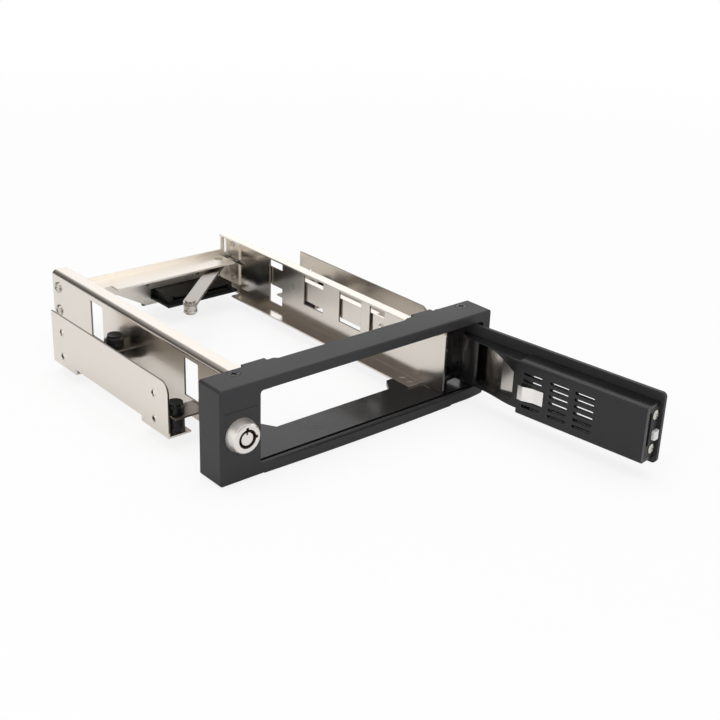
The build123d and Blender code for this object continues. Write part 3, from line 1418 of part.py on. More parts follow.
# Drive receptacle: a stepped body with the two blade slots in its front
body_z = recept_z + recept_base_t
recept_mid = recept_x0 + recept_w / 2
with BuildPart() as drive_receptacle:
    with BuildSketch(Plane.XY.offset(recept_z)):
        with Locations((recept_mid, (recept_front_y + board_y) / 2)):
            Rectangle(recept_w, board_y - recept_front_y)
    extrude(amount=recept_base_t)
    with BuildSketch(Plane.XY.offset(body_z)):
        with Locations((recept_mid, (recept_front_y + 2.4 + board_y) / 2)):
            Rectangle(recept_w - 4.0, board_y - recept_front_y - 2.4)
    extrude(amount=recept_h - recept_base_t)
    with BuildSketch(Plane.XZ.offset(-(recept_front_y + 2.4))):
        with Locations((recept_mid - 11.6, body_z + 1.9)):
            Rectangle(11.0, 1.5)
        with Locations((recept_mid - 16.6, body_z + 2.25)):
            Rectangle(1.2, 2.2)
        with Locations((recept_mid + 6.4, body_z + 1.9)):
            Rectangle(21.4, 1.5)
        with Locations((recept_mid + 16.6, body_z + 2.25)):
            Rectangle(1.2, 2.2)
    extrude(amount=-5.0, mode=Mode.SUBTRACT)
drive_receptacle.part.label = "drive_receptacle"
export_step(drive_receptacle.part, "parts/drive_receptacle.step")

# Circuit board on the back of the rear wall
with BuildPart() as backplane_board:
    with BuildSketch(Plane.XZ.offset(-board_y)):
        with Locations(((board_x0 + recept_x0 + recept_w) / 2, (board_z0 + board_z1 - 3.0) / 2)):
            Rectangle(recept_x0 + recept_w - board_x0, board_z1 - 3.0 - board_z0)
        with Locations(((board_x0 + board_x1) / 2, (board_z0 + board_z1) / 2)):
            Rectangle(board_x1 - board_x0, board_z1 - board_z0)
        with Locations((board_screw_x0, board_screw_z), (board_screw_x1, board_screw_z)):
            Circle(board_screw_r, mode=Mode.SUBTRACT)
    extrude(amount=-board_t)
backplane_board.part.label = "backplane_board"
export_step(backplane_board.part, "parts/backplane_board.step")

# Spacers between the board and the rear wall, and screws from behind
with BuildPart() as board_spacers:
    with BuildSketch(Plane.XZ.offset(-rail_back)):
        with Locations((board_screw_x0, board_screw_z), (board_screw_x1, board_screw_z)):
            Circle(spacer_r)
            Circle(board_screw_r, mode=Mode.SUBTRACT)
    extrude(amount=-board_spacer_t)
board_spacers.part.label = "board_spacers"
export_step(board_spacers.part, "parts/board_spacers.step")

with BuildPart() as board_screws:
    with BuildSketch(Plane.XZ.offset(-(board_y + board_t))):
        with Locations((board_screw_x0, board_screw_z), (board_screw_x1, board_screw_z)):
            Circle(2.2)
    extrude(amount=-1.0)
    with BuildSketch(Plane.XZ.offset(-cross_front)):
        with Locations((board_screw_x0, board_screw_z), (board_screw_x1, board_screw_z)):
            Circle(board_screw_r)
    extrude(amount=-(board_y + board_t - cross_front))
board_screws.part.label = "board_screws"
export_step(board_screws.part, "parts/board_screws.step")

# Data socket on the back of the board
socket_len = 7.4
with BuildPart() as data_socket:
    with BuildSketch(Plane.XZ.offset(-(board_y + board_t))):
        with Locations((socket_x, socket_z)):
            Rectangle(13.6, 6.4)
    extrude(amount=-socket_len)
    with BuildSketch(Plane.XZ.offset(-(board_y + board_t + socket_len))):
        with Locations((socket_x, socket_z)):
            Rectangle(11.2, 4.4)
    extrude(amount=5.0, mode=Mode.SUBTRACT)
    with BuildSketch(Plane.XZ.offset(-(board_y + board_t + socket_len - 5.0))):
        with Locations((socket_x, socket_z + 0.4)):
            Rectangle(8.8, 1.2)
    extrude(amount=-4.6)
data_socket.part.label = "data_socket"
export_step(data_socket.part, "parts/data_socket.step")
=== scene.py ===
# %% [markdown]
# # Dressing a hot swap drive cage
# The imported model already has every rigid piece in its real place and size.
# This lesson adds what a solid model leaves out: finishes, screw recesses, spring
# contacts and fine trim.  First the frame is loaded, and everything else rides on it.

# %% Load the frame
import bpy
import bmesh
import json
from math import cos, radians, sin
from mathutils import Matrix, Vector

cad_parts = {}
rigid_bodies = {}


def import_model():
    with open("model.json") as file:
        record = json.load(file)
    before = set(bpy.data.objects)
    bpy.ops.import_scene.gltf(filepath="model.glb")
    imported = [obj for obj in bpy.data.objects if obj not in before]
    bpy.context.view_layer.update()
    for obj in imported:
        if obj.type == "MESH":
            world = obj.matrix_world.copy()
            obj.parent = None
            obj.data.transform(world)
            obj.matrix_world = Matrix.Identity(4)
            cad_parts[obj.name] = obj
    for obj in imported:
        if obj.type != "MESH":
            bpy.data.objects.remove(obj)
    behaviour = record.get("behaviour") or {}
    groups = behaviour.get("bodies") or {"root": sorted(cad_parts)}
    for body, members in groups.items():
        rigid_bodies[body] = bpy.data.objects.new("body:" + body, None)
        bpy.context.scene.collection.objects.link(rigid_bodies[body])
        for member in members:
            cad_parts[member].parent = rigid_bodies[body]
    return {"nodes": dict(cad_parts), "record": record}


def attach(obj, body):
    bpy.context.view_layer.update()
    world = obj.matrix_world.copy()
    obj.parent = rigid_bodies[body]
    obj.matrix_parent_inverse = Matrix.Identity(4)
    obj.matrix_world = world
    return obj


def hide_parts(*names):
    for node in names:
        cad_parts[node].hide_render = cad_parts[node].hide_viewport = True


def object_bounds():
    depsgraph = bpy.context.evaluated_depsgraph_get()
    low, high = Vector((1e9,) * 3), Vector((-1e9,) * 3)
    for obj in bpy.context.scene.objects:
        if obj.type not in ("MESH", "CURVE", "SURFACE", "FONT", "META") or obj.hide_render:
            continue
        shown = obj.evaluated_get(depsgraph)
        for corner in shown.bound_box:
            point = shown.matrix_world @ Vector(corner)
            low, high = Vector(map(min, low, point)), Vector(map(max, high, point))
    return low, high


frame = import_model()
cad_box = [list(corner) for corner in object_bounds()]
mm = 0.001

# %% [markdown]
# ## Camera
# The photograph looks down on the left front corner from about 24 degrees.  The
# camera's place and turn were solved from the bezel and the side holes, whose real
# spacing is known, so they are written here as numbers.

# %% Camera at the photograph's view
camera_at = Vector((-0.31635, -0.36153, 0.24939))
view_right = Vector((0.76323937, -0.6451553, 0.03521797))
view_down = Vector((-0.23854356, -0.33202258, -0.91261053))
view_ahead = Vector((0.60046868, 0.68813927, -0.40731034))
focal_px, picture_px, sensor_mm = 1250.74, 720.0, 36.0
camera = bpy.data.objects.new("studio_camera", bpy.data.cameras.new("studio_camera"))
bpy.context.scene.collection.objects.link(camera)
camera.data.sensor_width = sensor_mm
camera.data.lens = focal_px / picture_px * sensor_mm
camera.data.clip_start = 0.01
camera.matrix_world = Matrix((
    (view_right.x, -view_down.x, -view_ahead.x, camera_at.x),
    (view_right.y, -view_down.y, -view_ahead.y, camera_at.y),
    (view_right.z, -view_down.z, -view_ahead.z, camera_at.z),
    (0, 0, 0, 1),
))
bpy.context.scene.camera = camera
bpy.context.scene.view_settings.view_transform = "Standard"
print("lens", round(camera.data.lens, 2), "mm")

# %% [markdown]
# ## A small language for shader maths
# A material is easier to read as an expression than as a web of nodes.  The class
# below wraps one output socket, so that `1 - mask` or `grain * 0.2 + 0.3` adds the
# Math nodes by itself.  Everything else goes through one method, `node`.  A Mix node
# keeps its colours in sockets 6 and 7, because 1 to 5 are for numbers and vectors.

# %% Sockets as Python values
class Value:
    def __init__(self, sheet, socket):
        self.sheet = sheet
        self.socket = socket

    def _math(self, kind, a, b):
        return self.sheet.node("ShaderNodeMath", {"operation": kind}, {0: a, 1: b})

    def __add__(self, other):
        return self._math("ADD", self, other)

    def __mul__(self, other):
        return self._math("MULTIPLY", self, other)

    def __lt__(self, other):
        return self._math("LESS_THAN", self, other)

    def __rsub__(self, other):
        return self._math("SUBTRACT", other, self)

    def __gt__(self, other):
        return self._math("GREATER_THAN", self, other)


class Finish:
    """One material and the nodes in it."""

    def __init__(self, name):
        self.material = bpy.data.materials.new(name)
        self.material.use_nodes = True
        self.tree = self.material.node_tree
        self.shader = self.tree.nodes["Principled BSDF"]
        self.place = self.node("ShaderNodeTexCoord", {}, {}, "Object")

    def node(self, kind, settings, inputs, out=0):
        made = self.tree.nodes.new(kind)
        for key, value in settings.items():
            setattr(made, key, value)
        for key, value in inputs.items():
            self.feed(made.inputs[key], value)
        return Value(self, made.outputs[out])

    def feed(self, socket, value):
        if isinstance(value, Value):
            self.tree.links.new(value.socket, socket)
        else:
            socket.default_value = value

    def noise(self, scale, stretch, detail):
        spread = self.node("ShaderNodeMapping", {}, {"Vector": self.place, "Scale": stretch})
        return self.node("ShaderNodeTexNoise", {}, {
            "Vector": spread, "Scale": scale, "Detail": detail}, "Fac")

    def remap(self, value, low, high, out_low, out_high):
        return self.node("ShaderNodeMapRange", {}, {
            0: value, 1: low, 2: high, 3: out_low, 4: out_high})

    def mix(self, mask, first, second):
        return self.node("ShaderNodeMix", {"data_type": "RGBA"}, {0: mask, 6: first, 7: second}, 2)

    def bump(self, height, distance, strength, edge=0.0):
        sockets = {"Height": height, "Distance": distance, "Strength": strength}
        if edge:
            sockets["Normal"] = self.node("ShaderNodeBevel", {"samples": 4}, {"Radius": edge})
        return self.node("ShaderNodeBump", {}, sockets, "Normal")

    def set(self, gleam=0.5, **sockets):
        self.shader.inputs["Specular IOR Level"].default_value = gleam
        for key, value in sockets.items():
            self.feed(self.shader.inputs[key.replace("_", " ").title()], value)


def grey(level):
    return (level, level, level, 1)


# %% [markdown]
# ## Nickel plated sheet
# The cage is folded from thin steel and plated with nickel, which is warmer than
# chrome.  The plating is smooth enough to mirror a rubber mount as a soft dark
# shape, so the roughness stays low.  Rolling leaves a very fine grain along the
# strip, and handling leaves broad faint clouds.  Where the sheet was sheared, its
# edge is rougher and is painted darker.  This painted shade stands in for the dark
# reflection such an edge shows.  The walls of the rails and brackets face sideways, so
# between their lower and upper folds a face that looks another way is such an edge.
# The rear wall is duller, and its paler tone is painted light.  The door's band is
# a darker copy of the plating, which is painted shade.  The lever is a darker,
# rougher nickel.

# %% Nickel sheet
lower_fold, upper_fold = 0.0075, 0.0332
# painted shade for the sheared edges, in place of a dark reflection
edge_painted_shade_tone = (0.20, 0.175, 0.15, 1)


def plated_sheet(name, low_tone, high_tone, shine, paint_edge_shade=False):
    sheet = Finish(name)
    grain = sheet.noise(1400, (1, 0.02, 1), 2.0)
    cloud = sheet.noise(16, (1, 0.6, 1), 2.0)
    haze = sheet.noise(120, (1, 0.25, 1), 3.0)
    tone = sheet.mix(cloud, low_tone, high_tone)
    rough = sheet.remap(cloud, 0.3, 0.7, shine, shine + 0.06) + haze * 0.05 + grain * 0.02
    if paint_edge_shade:
        facing = sheet.node("ShaderNodeTexCoord", {}, {}, "Normal")
        left_or_right = sheet.node("ShaderNodeSeparateXYZ", {}, {"Vector": facing}, "X")
        sideways = sheet.node("ShaderNodeMath", {"operation": "ABSOLUTE"}, {0: left_or_right})
        level = sheet.node("ShaderNodeSeparateXYZ", {}, {"Vector": sheet.place}, "Z")
        # painted shade: faces between the folds that don't face sideways, the sheared edges, are
        # darkened in the colour
        painted_edge_shade = (sideways < 0.5) * (level > lower_fold) * (level < upper_fold)
        tone = sheet.mix(painted_edge_shade, tone, edge_painted_shade_tone)
        rough = rough + painted_edge_shade * 0.15
    sheet.set(base_color=tone, metallic=1.0, roughness=rough,
              normal=sheet.bump(grain, 0.000004, 0.35, edge=0.0002))
    return sheet


warm_grey = (0.76, 0.705, 0.64, 1)
light_grey = (0.80, 0.755, 0.695, 1)
nickel = plated_sheet("nickel_sheet", warm_grey, light_grey, 0.13)
# plating with painted shade on its sheared edges
nickel_painted_edge_shade = plated_sheet("nickel_painted_edge_shade", warm_grey, light_grey, 0.13, paint_edge_shade=True)
# painted light: a paler copy of the plating for the rear wall
nickel_painted_light = plated_sheet("nickel_painted_light", (0.84, 0.79, 0.72, 1), (0.88, 0.83, 0.77, 1), 0.27)
# painted shade: a darker copy of the plating for the door's band
nickel_painted_shade = plated_sheet("nickel_painted_shade", (0.70, 0.655, 0.60, 1), (0.76, 0.71, 0.65, 1), 0.10)

dull_nickel = Finish("dull_nickel")
rub = dull_nickel.noise(260, (1, 1, 1), 4.0)
dull_nickel.set(base_color=dull_nickel.mix(rub, (0.34, 0.315, 0.29, 1), (0.42, 0.395, 0.365, 1)),
                metallic=1.0, roughness=rub * 0.14 + 0.17,
                normal=dull_nickel.bump(rub, 0.00001, 0.4, edge=0.0003))
print("nickel sheet ready in five finishes")

# %% [markdown]
# ## Black mouldings
# The bezel and the door's panel are moulded with a fine spark texture that looks
# satin.  The door's back and the inner frame come from a polished mould, so they are
# glossy with faint handling marks.  All are black plastic, and only texture and gloss
# tell them apart.

# %% Satin and glossy black
satin = Finish("satin_black")
spark = satin.noise(1700, (1, 1, 1), 2.0)
patch = satin.noise(22, (1, 1, 1), 2.0)
satin_dark, satin_light = (0.021, 0.021, 0.023, 1), (0.028, 0.028, 0.030, 1)
satin.set(gleam=0.33, base_color=satin.mix(patch, satin_dark, satin_light),
          roughness=satin.remap(patch, 0.3, 0.7, 0.40, 0.48) + spark * 0.06,
          normal=satin.bump(spark, 0.000022, 0.5, edge=0.0004))

gloss = Finish("gloss_black")
smear = gloss.noise(45, (1, 1, 0.4), 4.0)
hairline = gloss.noise(900, (1, 0.05, 1), 2.0)
gloss_dark, gloss_light = (0.007, 0.007, 0.008, 1), (0.012, 0.012, 0.013, 1)
gloss.set(gleam=0.36, base_color=gloss.mix(smear, gloss_dark, gloss_light), coat_weight=0.1,
          roughness=gloss.remap(smear, 0.3, 0.75, 0.17, 0.27) + hairline * 0.05,
          normal=gloss.bump(hairline * 0.5 + smear * 0.5, 0.00001, 0.3, edge=0.00035))
print("black mouldings ready")

# %% [markdown]
# ## Chrome, screws and spring steel
# Small metal parts are polished harder than the sheet.  The lock is bright chrome
# with turning marks on its face, which are rings round the lock's own axis.  The
# ring that takes the key is a recess, and its shade is painted: the chrome turns to
# brown black there.  Distance from the axis and depth behind the face make that
# painted shade mask, and past the edge of the face the collar's side is satin.

# %% Lock chrome
lock_axis = Vector((-0.0643, 0.0, 0.021))
groove_inner, groove_outer, notch_end, collar_edge = 0.00274, 0.00405, 0.0051, 0.0060
soft_step = 0.0001
just_behind_face, well_behind_face = -0.00745, -0.0070
turning_marks = 42000.0
chrome = Finish("lock_chrome")
around = chrome.node("ShaderNodeMapping", {}, {"Vector": chrome.place, "Location": -lock_axis})
sideways = chrome.node("ShaderNodeSeparateXYZ", {}, {"Vector": around}, "X")
depth = Value(chrome, sideways.socket.node.outputs["Y"])
flat_place = chrome.node("ShaderNodeCombineXYZ", {}, {
    "X": sideways, "Z": Value(chrome, sideways.socket.node.outputs["Z"])})
radius = chrome.node("ShaderNodeVectorMath", {"operation": "LENGTH"}, {0: flat_place}, "Value")
rings = chrome.node("ShaderNodeMath", {"operation": "SINE"}, {0: radius * turning_marks})
dull = chrome.noise(300, (1, 1, 1), 2.0)
key_ring = chrome.remap(radius, notch_end, notch_end + soft_step, 1.0, 0.0)
below_face = chrome.remap(depth + dull * 0.0002, just_behind_face, well_behind_face, 0.0, 1.0)
past_core = chrome.remap(radius, groove_inner, groove_inner + soft_step, 0.0, 1.0)
inside_ring = chrome.remap(radius, groove_outer, groove_outer + soft_step, 1.0, 0.0)
# painted shade: the key ring's recess is darkened in the colour
painted_groove_shade = chrome.node("ShaderNodeMath", {"operation": "MAXIMUM"}, {
    0: below_face * key_ring, 1: past_core * inside_ring})
chrome_tone = chrome.mix(painted_groove_shade, (0.78, 0.74, 0.705, 1), (0.060, 0.030, 0.018, 1))
collar_side = chrome.remap(radius, collar_edge, collar_edge + 3 * soft_step, 0.0, 1.0)
chrome.set(base_color=chrome_tone, metallic=1 - painted_groove_shade * 0.9,
           roughness=dull * 0.06 + painted_groove_shade * 0.25 + collar_side * 0.30 + 0.10,
           normal=chrome.bump(rings, 0.000004, 0.4, edge=0.00015))
print("lock chrome ready")

# %% Screw steel, spring steel and black oxide
screw_steel = Finish("screw_steel")
scuff = screw_steel.noise(1400, (1, 1, 1), 3.0)
screw_steel.set(base_color=screw_steel.mix(scuff, (0.52, 0.49, 0.45, 1), (0.72, 0.69, 0.64, 1)),
                metallic=1.0, roughness=scuff * 0.16 + 0.16,
                normal=screw_steel.bump(scuff, 0.000008, 0.5, edge=0.00015))

spring_steel = Finish("spring_steel")
streak = spring_steel.noise(1800, (0.1, 1, 1), 2.0)
spring_steel.set(base_color=spring_steel.mix(streak, (0.86, 0.83, 0.80, 1), (0.94, 0.92, 0.89, 1)),
                 metallic=1.0, roughness=streak * 0.12 + 0.14,
                 normal=spring_steel.bump(streak, 0.000008, 0.4, edge=0.00015))

black_screw = Finish("black_screw")
oxide = black_screw.noise(1700, (1, 1, 1), 2.0)
black_screw.set(base_color=black_screw.mix(oxide, grey(0.014), grey(0.030)), metallic=0.5,
                roughness=oxide * 0.15 + 0.26,
                normal=black_screw.bump(oxide, 0.000008, 0.5, edge=0.00015))
print("small metals ready")

# %% [markdown]
# ## Rubber, nylon, connector plastic and circuit board
# The rubber is new and has a little gloss.  Nylon is milky.  The board's colour is a
# dark green lacquer over copper, and a pattern of square cells gives it faint tracks.

# %% Rubber, nylon, connector, board, gold and solder
rubber = Finish("black_rubber")
bloom = rubber.noise(500, (1, 1, 1), 3.0)
rubber.set(gleam=0.32, base_color=rubber.mix(bloom, grey(0.006), grey(0.010)),
           roughness=bloom * 0.05 + 0.22, normal=rubber.bump(bloom, 0.000002, 0.2, edge=0.0003))

nylon = Finish("white_nylon")
milk = nylon.noise(300, (1, 1, 1), 2.0)
nylon.set(base_color=nylon.mix(milk, (0.70, 0.70, 0.67, 1), (0.78, 0.78, 0.76, 1)),
          roughness=milk * 0.1 + 0.36, normal=nylon.bump(milk, 0.00001, 0.4, edge=0.0002))

connector = Finish("connector_black")
fibre = connector.noise(1300, (0.3, 1, 1), 2.0)
connector_dark, connector_light = (0.006, 0.008, 0.007, 1), (0.012, 0.015, 0.013, 1)
connector.set(gleam=0.18, base_color=connector.mix(fibre, connector_dark, connector_light),
              roughness=fibre * 0.15 + 0.36,
              normal=connector.bump(fibre, 0.00001, 0.5, edge=0.0002))

board = Finish("board_green")
tracks = board.node("ShaderNodeTexVoronoi", {"distance": "MANHATTAN", "feature": "F1"},
                    {"Vector": board.place, "Scale": 420.0}, "Distance")
track_mask = board.remap(tracks, 0.42, 0.47, 0.0, 1.0)
board.set(base_color=board.mix(track_mask, (0.005, 0.026, 0.015, 1), (0.009, 0.050, 0.026, 1)),
          roughness=track_mask * 0.08 + 0.24, normal=board.bump(track_mask, 0.00003, 0.6))

gold = Finish("contact_gold")
shine = gold.noise(2000, (1, 1, 1), 2.0)
gold.set(base_color=gold.mix(shine, (0.80, 0.57, 0.24, 1), (0.90, 0.70, 0.36, 1)), metallic=1.0,
         roughness=shine * 0.1 + 0.16, normal=gold.bump(shine, 0.000005, 0.4))

solder = Finish("solder_tin")
crust = solder.noise(1500, (1, 1, 1), 3.0)
solder.set(base_color=solder.mix(crust, (0.50, 0.50, 0.49, 1), (0.70, 0.70, 0.68, 1)), metallic=1.0,
           roughness=crust * 0.2 + 0.2, normal=solder.bump(crust, 0.00001, 0.6))
print("plastics, board and contacts ready")

# %% [markdown]
# ## Give each CAD node its finish
# The record names a material slot for every node, and its slot name picks the
# finish.  The nodes that are named here differ from their slot: they have their own
# variant of the plating, some with painted light or shade, or the bezel's satin
# texture in place of the gloss.

# %% Assign finishes
finishes = {
    "nickel_sheet": nickel, "satin_black": satin, "gloss_black": gloss,
    "lock_chrome": chrome, "screw_steel": screw_steel, "spring_steel": spring_steel,
    "black_screw": black_screw, "black_rubber": rubber, "white_nylon": nylon,
    "connector_black": connector, "board_green": board,
}
single_finishes = {
    "eject_lever": dull_nickel, "lever_pivot": dull_nickel, "roller_rivet": dull_nickel,
    "rail_left": nickel_painted_edge_shade, "rail_right": nickel_painted_edge_shade, "bracket_left": nickel_painted_edge_shade,
    "bracket_right": nickel_painted_edge_shade, "rear_crossmember": nickel_painted_light, "door_band": nickel_painted_shade,
    "door_panel": satin, "catch_plate": satin,
}
for entry in frame["record"]["subparts"]:
    piece = frame["nodes"][entry["node"]]
    finish = single_finishes.get(entry["node"], finishes[entry["material_slot"]])
    piece.data.materials.clear()
    piece.data.materials.append(finish.material)

# %% [markdown]
# ## A helper for Geometry Nodes
# Screws, contacts and solder beads repeat, so each is one Geometry Nodes tree that
# places copies on points.  The helper below writes a tree from short lines: `add`
# makes a node, and links are given as `(node, output)` pairs.

# %% Node tree helper
class Recipe:
    """A Geometry Nodes tree with named inputs, applied to a carrier mesh."""

    def __init__(self, name, inputs):
        self.tree = bpy.data.node_groups.new(name, "GeometryNodeTree")
        self.new_socket("Geometry", "INPUT", "Geometry")
        self.new_socket("Geometry", "OUTPUT", "Geometry")
        self.ids = {}
        for title, kind, value in inputs:
            made = self.new_socket(title, "INPUT", kind)
            if kind != "Material":
                made.default_value = value
            self.ids[title] = made.identifier
        self.entry = self.tree.nodes.new("NodeGroupInput")
        self.exit = self.tree.nodes.new("NodeGroupOutput")

    def new_socket(self, title, way, kind):
        return self.tree.interface.new_socket(
            title, in_out=way, socket_type="NodeSocket" + kind)

    def add(self, kind, settings=None, **sockets):
        made = self.tree.nodes.new(kind)
        for key, value in (settings or {}).items():
            setattr(made, key, value)
        for key, value in sockets.items():
            where = made.inputs[int(key[1:]) if key[0] == "_" else key.replace("_", " ")]
            for one in value if isinstance(value, list) else [value]:
                if isinstance(one, tuple) and not isinstance(one[0], (int, float)):
                    self.tree.links.new(one[0].outputs[one[1]], where)
                elif isinstance(one, bpy.types.Node):
                    self.tree.links.new(one.outputs[0], where)
                else:
                    where.default_value = one
        return made

    def given(self, title):
        return (self.entry, title)

    def close(self, geometry):
        real = self.add("GeometryNodeRealizeInstances", Geometry=geometry)
        dressed = self.add("GeometryNodeSetMaterial", Geometry=real, Material=self.given("Finish"))
        self.tree.links.new(dressed.outputs[0], self.exit.inputs[0])

    def make(self, name, points, finish, **values):
        """Run the tree on points, each a place and an outward direction."""
        mesh = bpy.data.meshes.new(name + "_points")
        mesh.from_pydata([at for at, out in points], [], [])
        outward = mesh.attributes.new("outward", "FLOAT_VECTOR", "POINT")
        outward.data.foreach_set("vector", [part for at, out in points for part in out])
        piece = bpy.data.objects.new(name, mesh)
        bpy.context.scene.collection.objects.link(piece)
        worker = piece.modifiers.new("recipe", "NODES")
        worker.node_group = self.tree
        worker[self.ids["Finish"]] = finish.material
        for key, value in values.items():
            worker[self.ids[key.replace("_", " ")]] = value
        ready = piece.evaluated_get(bpy.context.evaluated_depsgraph_get())
        result = bpy.data.meshes.new_from_object(ready)
        piece.modifiers.clear()
        piece.data = result
        return piece


def join_pieces(name, pieces):
    """One mesh from several finished ones that ride the same body."""
    whole = bmesh.new()
    for piece in pieces:
        whole.from_mesh(piece.data)
    first = pieces[0]
    whole.to_mesh(first.data)
    whole.free()
    for other in pieces[1:]:
        bpy.data.objects.remove(other)
    first.name = name
    print(name, len(first.data.polygons), "faces")
    return first


# %% [markdown]
# ## Pan head screws with a cross recess
# A real pan head is a low dome with a cross pressed into it.  A cylinder whose cap
# is lifted by `1 - (r / R)^2.4` gives the dome, and a Boolean takes out two crossed
# bars.  The shank is moved down by a hair less than half its length, so that it meets
# the head.  The same tree makes every size, because its sizes are inputs.

# %% The screw tree
dome_power, shank_shift, most_roll = 2.4, -0.499, 1.5
pan_head = Recipe("pan_head_screw", [
    ("Head Radius", "Float", 0.0027), ("Head Height", "Float", 0.0013), ("Dome", "Float", 0.5),
    ("Recess Length", "Float", 0.003), ("Recess Width", "Float", 0.0007),
    ("Shank Radius", "Float", 0.0014), ("Shank Length", "Float", 0.002),
    ("Finish", "Material", None)])
rim = pan_head.add("ShaderNodeMath", {"operation": "MULTIPLY"},
                   _0=pan_head.given("Head Height"), _1=pan_head.given("Dome"))
side = pan_head.add("ShaderNodeMath", {"operation": "SUBTRACT"},
                    _0=pan_head.given("Head Height"), _1=rim)
disc = pan_head.add("GeometryNodeMeshCylinder", {"fill_type": "TRIANGLE_FAN"}, Vertices=40,
                    Fill_Segments=6, Radius=pan_head.given("Head Radius"), Depth=side)
lift_half = pan_head.add("ShaderNodeMath", {"operation": "MULTIPLY"}, _0=side, _1=0.5)
place = pan_head.add("GeometryNodeInputPosition")
parts = pan_head.add("ShaderNodeSeparateXYZ", Vector=place)
level = pan_head.add("ShaderNodeCombineXYZ", X=(parts, "X"), Y=(parts, "Y"))
reach = pan_head.add("ShaderNodeVectorMath", {"operation": "LENGTH"}, _0=level)
share = pan_head.add("ShaderNodeMath", {"operation": "DIVIDE"},
                     _0=(reach, "Value"), _1=pan_head.given("Head Radius"))
fall = pan_head.add("ShaderNodeMath", {"operation": "POWER"}, _0=share, _1=dome_power)
bulge = pan_head.add("ShaderNodeMath", {"operation": "SUBTRACT"}, _0=1.0, _1=fall)
raised = pan_head.add("ShaderNodeMath", {"operation": "MULTIPLY"}, _0=bulge, _1=rim)
upper = pan_head.add("ShaderNodeMath", {"operation": "GREATER_THAN"}, _0=(parts, "Z"), _1=0.0)
raised_top = pan_head.add("ShaderNodeMath", {"operation": "MULTIPLY"}, _0=raised, _1=upper)
total_lift = pan_head.add("ShaderNodeMath", {"operation": "ADD"}, _0=raised_top, _1=lift_half)
shift = pan_head.add("ShaderNodeCombineXYZ", Z=total_lift)
dome = pan_head.add("GeometryNodeSetPosition", Geometry=(disc, "Mesh"), Offset=shift)

# %% Recess, shank and placing
bar_size = pan_head.add("ShaderNodeCombineXYZ", X=pan_head.given("Recess Length"),
                        Y=pan_head.given("Recess Width"), Z=pan_head.given("Head Height"))
bar_turned = pan_head.add("ShaderNodeCombineXYZ", X=pan_head.given("Recess Width"),
                          Y=pan_head.given("Recess Length"), Z=pan_head.given("Head Height"))
bar_level = pan_head.add("ShaderNodeCombineXYZ", Z=pan_head.given("Head Height"))
bars = [pan_head.add("GeometryNodeTransform", Translation=bar_level,
                     Geometry=pan_head.add("GeometryNodeMeshCube", Size=size))
        for size in (bar_size, bar_turned)]
cut = pan_head.add("GeometryNodeMeshBoolean", {"operation": "DIFFERENCE", "solver": "EXACT"},
                   Mesh_1=dome, Mesh_2=bars)
shank = pan_head.add("GeometryNodeMeshCylinder", Vertices=24, Radius=pan_head.given("Shank Radius"),
                     Depth=pan_head.given("Shank Length"))
half = pan_head.add("ShaderNodeMath", {"operation": "MULTIPLY"},
                    _0=pan_head.given("Shank Length"), _1=shank_shift)
down = pan_head.add("ShaderNodeCombineXYZ", Z=half)
sunk = pan_head.add("GeometryNodeTransform", Geometry=(shank, "Mesh"), Translation=down)
screw = pan_head.add("GeometryNodeJoinGeometry", Geometry=[(cut, "Mesh"), sunk])
facing = pan_head.add("GeometryNodeInputNamedAttribute", {"data_type": "FLOAT_VECTOR"},
                      Name="outward")
turn = pan_head.add("FunctionNodeAlignRotationToVector", {"axis": "Z"},
                    Vector=(facing, "Attribute"))
roll = pan_head.add("FunctionNodeRandomValue", {"data_type": "FLOAT"},
                    _2=0.0, _3=most_roll, Seed=7)
rolled = pan_head.add("FunctionNodeAxisAngleToRotation", Axis=(0.0, 0.0, 1.0), Angle=(roll, 1))
spun = pan_head.add("FunctionNodeRotateRotation", {"rotation_space": "LOCAL"},
                    Rotation=turn, Rotate_By=rolled)
copies = pan_head.add("GeometryNodeInstanceOnPoints", Points=pan_head.given("Geometry"),
                      Instance=screw, Rotation=spun)
pan_head.close(copies)
print("screw tree:", len(pan_head.tree.nodes), "nodes")

# %% Screws of the cage
left_face, right_face, cross_y = -0.0545, 0.0504, 0.164
left_screw_z, right_screw_z = (0.0166, 0.0284), (0.0120, 0.0310)
foot_x, foot_y, frame_under = (-0.0495, 0.0454), (0.0168, 0.0226), 0.0026
mount_x, mount_y, tab_z = (-0.0666, 0.0666), (0.0407, 0.121), 0.0051
board_x, board_back, board_screw_z = (-0.0018, 0.0288), 0.172, 0.0174
rail_points = [((left_face, cross_y, z), (-1, 0, 0)) for z in left_screw_z]
rail_points += [((right_face, cross_y, z), (1, 0, 0)) for z in right_screw_z]
rail_screws = pan_head.make("rail_screws", rail_points, screw_steel,
                            Head_Radius=0.0027, Head_Height=0.0013, Shank_Length=0.0024)
foot_heads = pan_head.make("foot_heads", [
    ((x, y, frame_under), (0, 0, -1)) for x in foot_x for y in foot_y],
    screw_steel, Head_Radius=0.0024, Head_Height=0.0004, Dome=0.3,
    Recess_Length=0.0026, Shank_Length=0.0031)
mount_heads = pan_head.make("mount_heads", [
    ((x, y, tab_z), (0, 0, -1)) for x in mount_x for y in mount_y],
    screw_steel, Head_Radius=0.0027, Head_Height=0.0009, Shank_Radius=0.0016, Shank_Length=0.0008)
board_heads = pan_head.make("board_heads", [
    ((x, board_back, board_screw_z), (0, 1, 0)) for x in board_x],
    screw_steel, Head_Radius=0.0022, Head_Height=0.0010, Recess_Length=0.0024,
    Shank_Radius=0.0013, Shank_Length=0.0038)
cage_screws = join_pieces("cage_screw_heads", [
    rail_screws, foot_heads, mount_heads, board_heads])
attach(cage_screws, "cage")
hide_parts("crossmember_screws", "foot_screws", "mount_screws", "board_screws")

